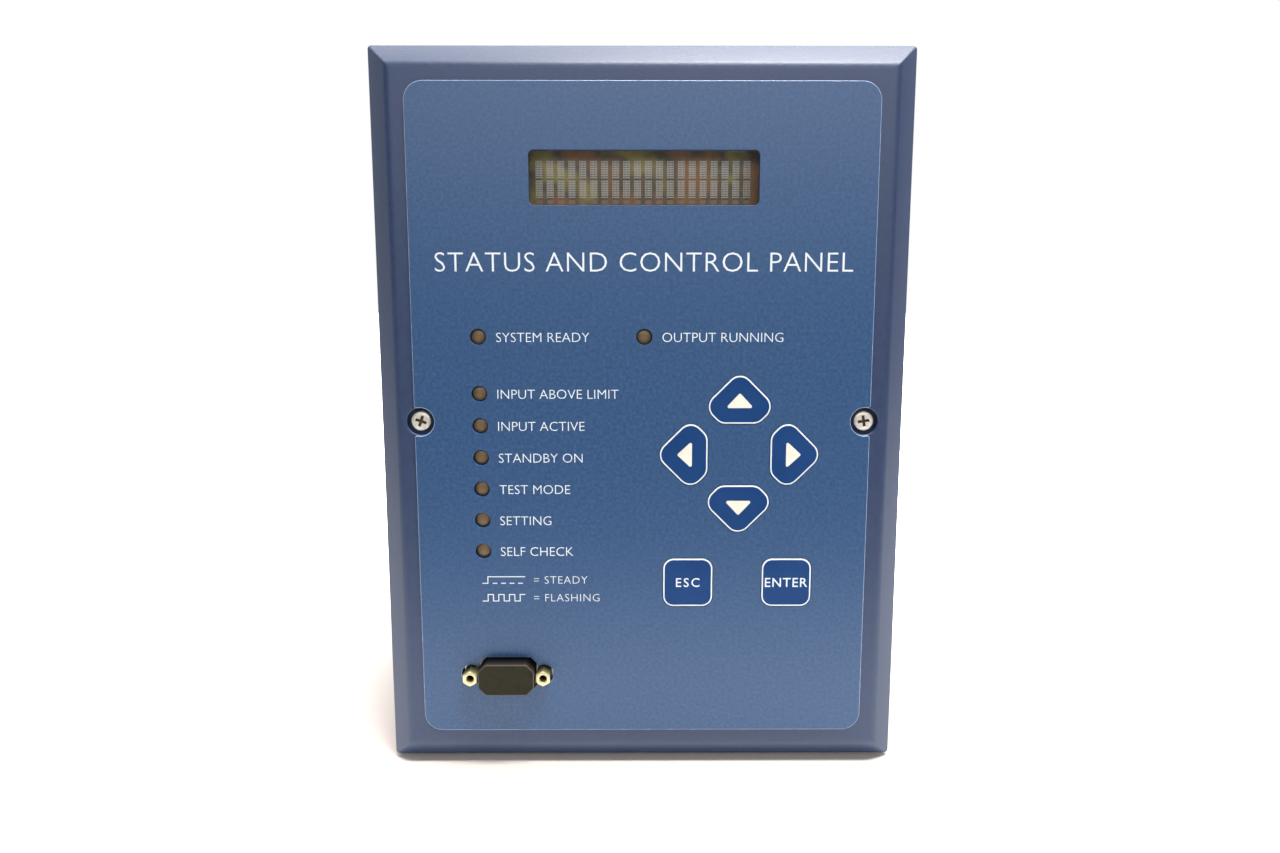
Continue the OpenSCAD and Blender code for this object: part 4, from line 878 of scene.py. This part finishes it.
# Print on the overlay: a heading, a caption beside each lamp, and two lamp signs with their meanings,
# all screen printed in white.
TITLE, TITLE_X, TITLE_Z, TITLE_CAP, TITLE_SPREAD = "STATUS AND CONTROL PANEL", 0.5, 52.4, 6.2, 1.045
CAPTIONS = ["SYSTEM READY", "OUTPUT RUNNING", "INPUT ABOVE LIMIT", "INPUT ACTIVE", "STANDBY ON", "TEST MODE",
    "SETTING", "SELF CHECK"]
CAPTION_GAP, CAPTION_DROP, CAPTION_CAP, CAPTION_SPREAD = 5.95, 0.15, 3.05, 1.0
TITLE_WEIGHT, CAPTION_WEIGHT, SIGN_WEIGHT = -0.013, -0.014, -0.018
SIGN_LEFT, SIGN_RIGHT, SIGN_H, SIGN_STROKE = -54.6, -40.0, 2.3, 0.3
SIGN_STEADY_Z, SIGN_FLASH_Z = -54.5, -60.8
SIGN_STEP, SIGN_WAVES = 1.9, 4
DASH_COUNT, DASH_FIRST, DASH_LAST, DASH_W = 4, 2.4, 1.6, 1.6
SIGN_CAPTION_X, SIGN_CAP, SIGN_SPREAD = -37.0, 2.6, 1.09


def stroke(path, face):
    """Printed line along a path of X and Z: a four-cornered section at each point, set across the sum
    of the sides of the path before and after it, so that corners are mitred."""
    path = np.array(path, float)
    step = np.diff(path, axis=0)
    side = np.column_stack([-step[:, 1], step[:, 0]]) / np.linalg.norm(step, axis=1)[:, None]
    before, after = side[[0, *range(len(side))]], side[[*range(len(side)), -1]]
    across = (before + after) / (1 + (before * after).sum(1))[:, None] * SIGN_STROKE / 2
    corners = np.stack([path + across, path + across, path - across, path - across], 1)
    rows = np.insert(corners, 1, [face, face - PRINT_T, face - PRINT_T, face], axis=2)
    return [band(rows), lid(rows[0]), lid(rows[-1])]


print_shells = printed(TITLE, TITLE_X, TITLE_Z, overlay_front, TITLE_CAP, TITLE_SPREAD, TITLE_WEIGHT,
    align=0.5)
for words, (x, z) in zip(CAPTIONS, lamp_spots):
    start, middle = x + CAPTION_GAP, z - CAPTION_DROP
    print_shells += printed(words, start, middle, overlay_front, CAPTION_CAP, CAPTION_SPREAD, CAPTION_WEIGHT)
for words, z in (("= STEADY", SIGN_STEADY_Z), ("= FLASHING", SIGN_FLASH_Z)):
    print_shells += printed(words, SIGN_CAPTION_X, z, overlay_front, SIGN_CAP, SIGN_SPREAD, SIGN_WEIGHT)
sign_low, sign_top = SIGN_STEADY_Z - SIGN_H / 2, SIGN_STEADY_Z + SIGN_H / 2
step_x = SIGN_LEFT + SIGN_STEP
step_path = [(SIGN_LEFT, sign_low), (step_x, sign_low), (step_x, sign_top), (SIGN_RIGHT, sign_top)]
print_shells += stroke(step_path, overlay_front)
for x in np.linspace(step_x + DASH_FIRST, SIGN_RIGHT - DASH_LAST, DASH_COUNT):
    print_shells += stroke([(x - DASH_W / 2, sign_low), (x + DASH_W / 2, sign_low)], overlay_front)
wave_x = np.repeat(np.linspace(SIGN_LEFT, SIGN_RIGHT, 2 * SIGN_WAVES + 1), 2)[1:-1]
wave_z = SIGN_FLASH_Z + np.tile(np.array([-1, -1, 1, 1]) * SIGN_H / 2, SIGN_WAVES)
print_shells += stroke(np.column_stack([wave_x, wave_z]), overlay_front)
piece("overlay_print", print_shells, [white_ink], "housing")

# Front screws: nickel-plated machine screws with low pan heads and cross recesses, sunk in the bezel's
# deep recesses and threaded into clinch nuts on the chassis. The cross is dull, and painted dark inside:
# painted shade in the recess.
HEAD_H, HEAD_RIM, HEAD_DOME, HEAD_CORE = 2.4, 2.0, 6, 0.02
CROSS_HALF_W, CROSS_REACH, CROSS_DEPTH = 0.5, 2.0, 1.3
CROSS_SIDE, CROSS_END, CROSS_FALL, CROSS_DARK = 0.1, 0.4, 0.5, 0.2
SHANK_R = 1.95
SCREW_TURNS = (-20, 8)
HEAD_POINTS, HEAD_RINGS = 120, 48


def front_screw(x, turn):
    """Head as a height over radius and angle: a dome that falls with a power of the radius, less a
    cross whose depth falls off along each arm and drops steeply at its sides."""
    angle = np.linspace(0, math.tau, HEAD_POINTS, endpoint=False)
    radius = np.linspace(HEAD_CORE, HEAD_R, HEAD_RINGS)[:, None]
    dome = HEAD_H - (HEAD_H - HEAD_RIM) * (radius / HEAD_R) ** HEAD_DOME
    u = np.abs(radius * np.cos(angle - math.radians(turn)))
    v = np.abs(radius * np.sin(angle - math.radians(turn)))
    along, across = np.maximum(u, v), np.minimum(u, v)
    inside, short = (CROSS_HALF_W - across) / CROSS_SIDE, (CROSS_REACH - along) / CROSS_END
    arm = np.clip(inside, 0, 1) * np.clip(short, 0, 1)
    height = dome - CROSS_DEPTH * arm * (1 - CROSS_FALL * along / CROSS_REACH)
    base = np.array([(HEAD_R, 0), (SHANK_R, 0), (SHANK_R, recess_floor - screws_high[1])])
    radius = np.concatenate([radius, base[:, :1]])
    height = np.concatenate([height, np.repeat(base[:, 1:], HEAD_POINTS, axis=1)])
    rows = np.stack([x + radius * np.cos(angle), recess_floor - height, radius * np.sin(angle)], -1)
    spots, faces, _ = band(rows)
    inks = np.zeros((len(rows) - 1, HEAD_POINTS), int)
    # Deep parts of the cross and the head's centre take the dark finish: painted shade in the recess
    inks[:HEAD_RINGS - 1] = arm[1:] > CROSS_DARK
    return [(spots, faces, inks.ravel()), lid(rows[0], 1), lid(rows[-1])]


screw_shells = front_screw(-screw_x, SCREW_TURNS[0]) + front_screw(screw_x, SCREW_TURNS[1])
screw_nickel = finish("screw_nickel", [(222, 213, 202), (234, 226, 214), (214, 206, 196)],
    rough=(0.34, 0.46), cloud=2, grain=0.2, relief=0.004, Metallic=0.5)
screw_cross_painted_shade = finish("screw_cross_painted_shade", [(74, 58, 40), (96, 78, 56)],
    rough=(0.5, 0.6), cloud=0.6, grain=0.2, relief=0.004, Metallic=0.4)
screw_metals = [screw_nickel, screw_cross_painted_shade]
piece("front_screw_pair", screw_shells, screw_metals, "housing", ["front_screws"])
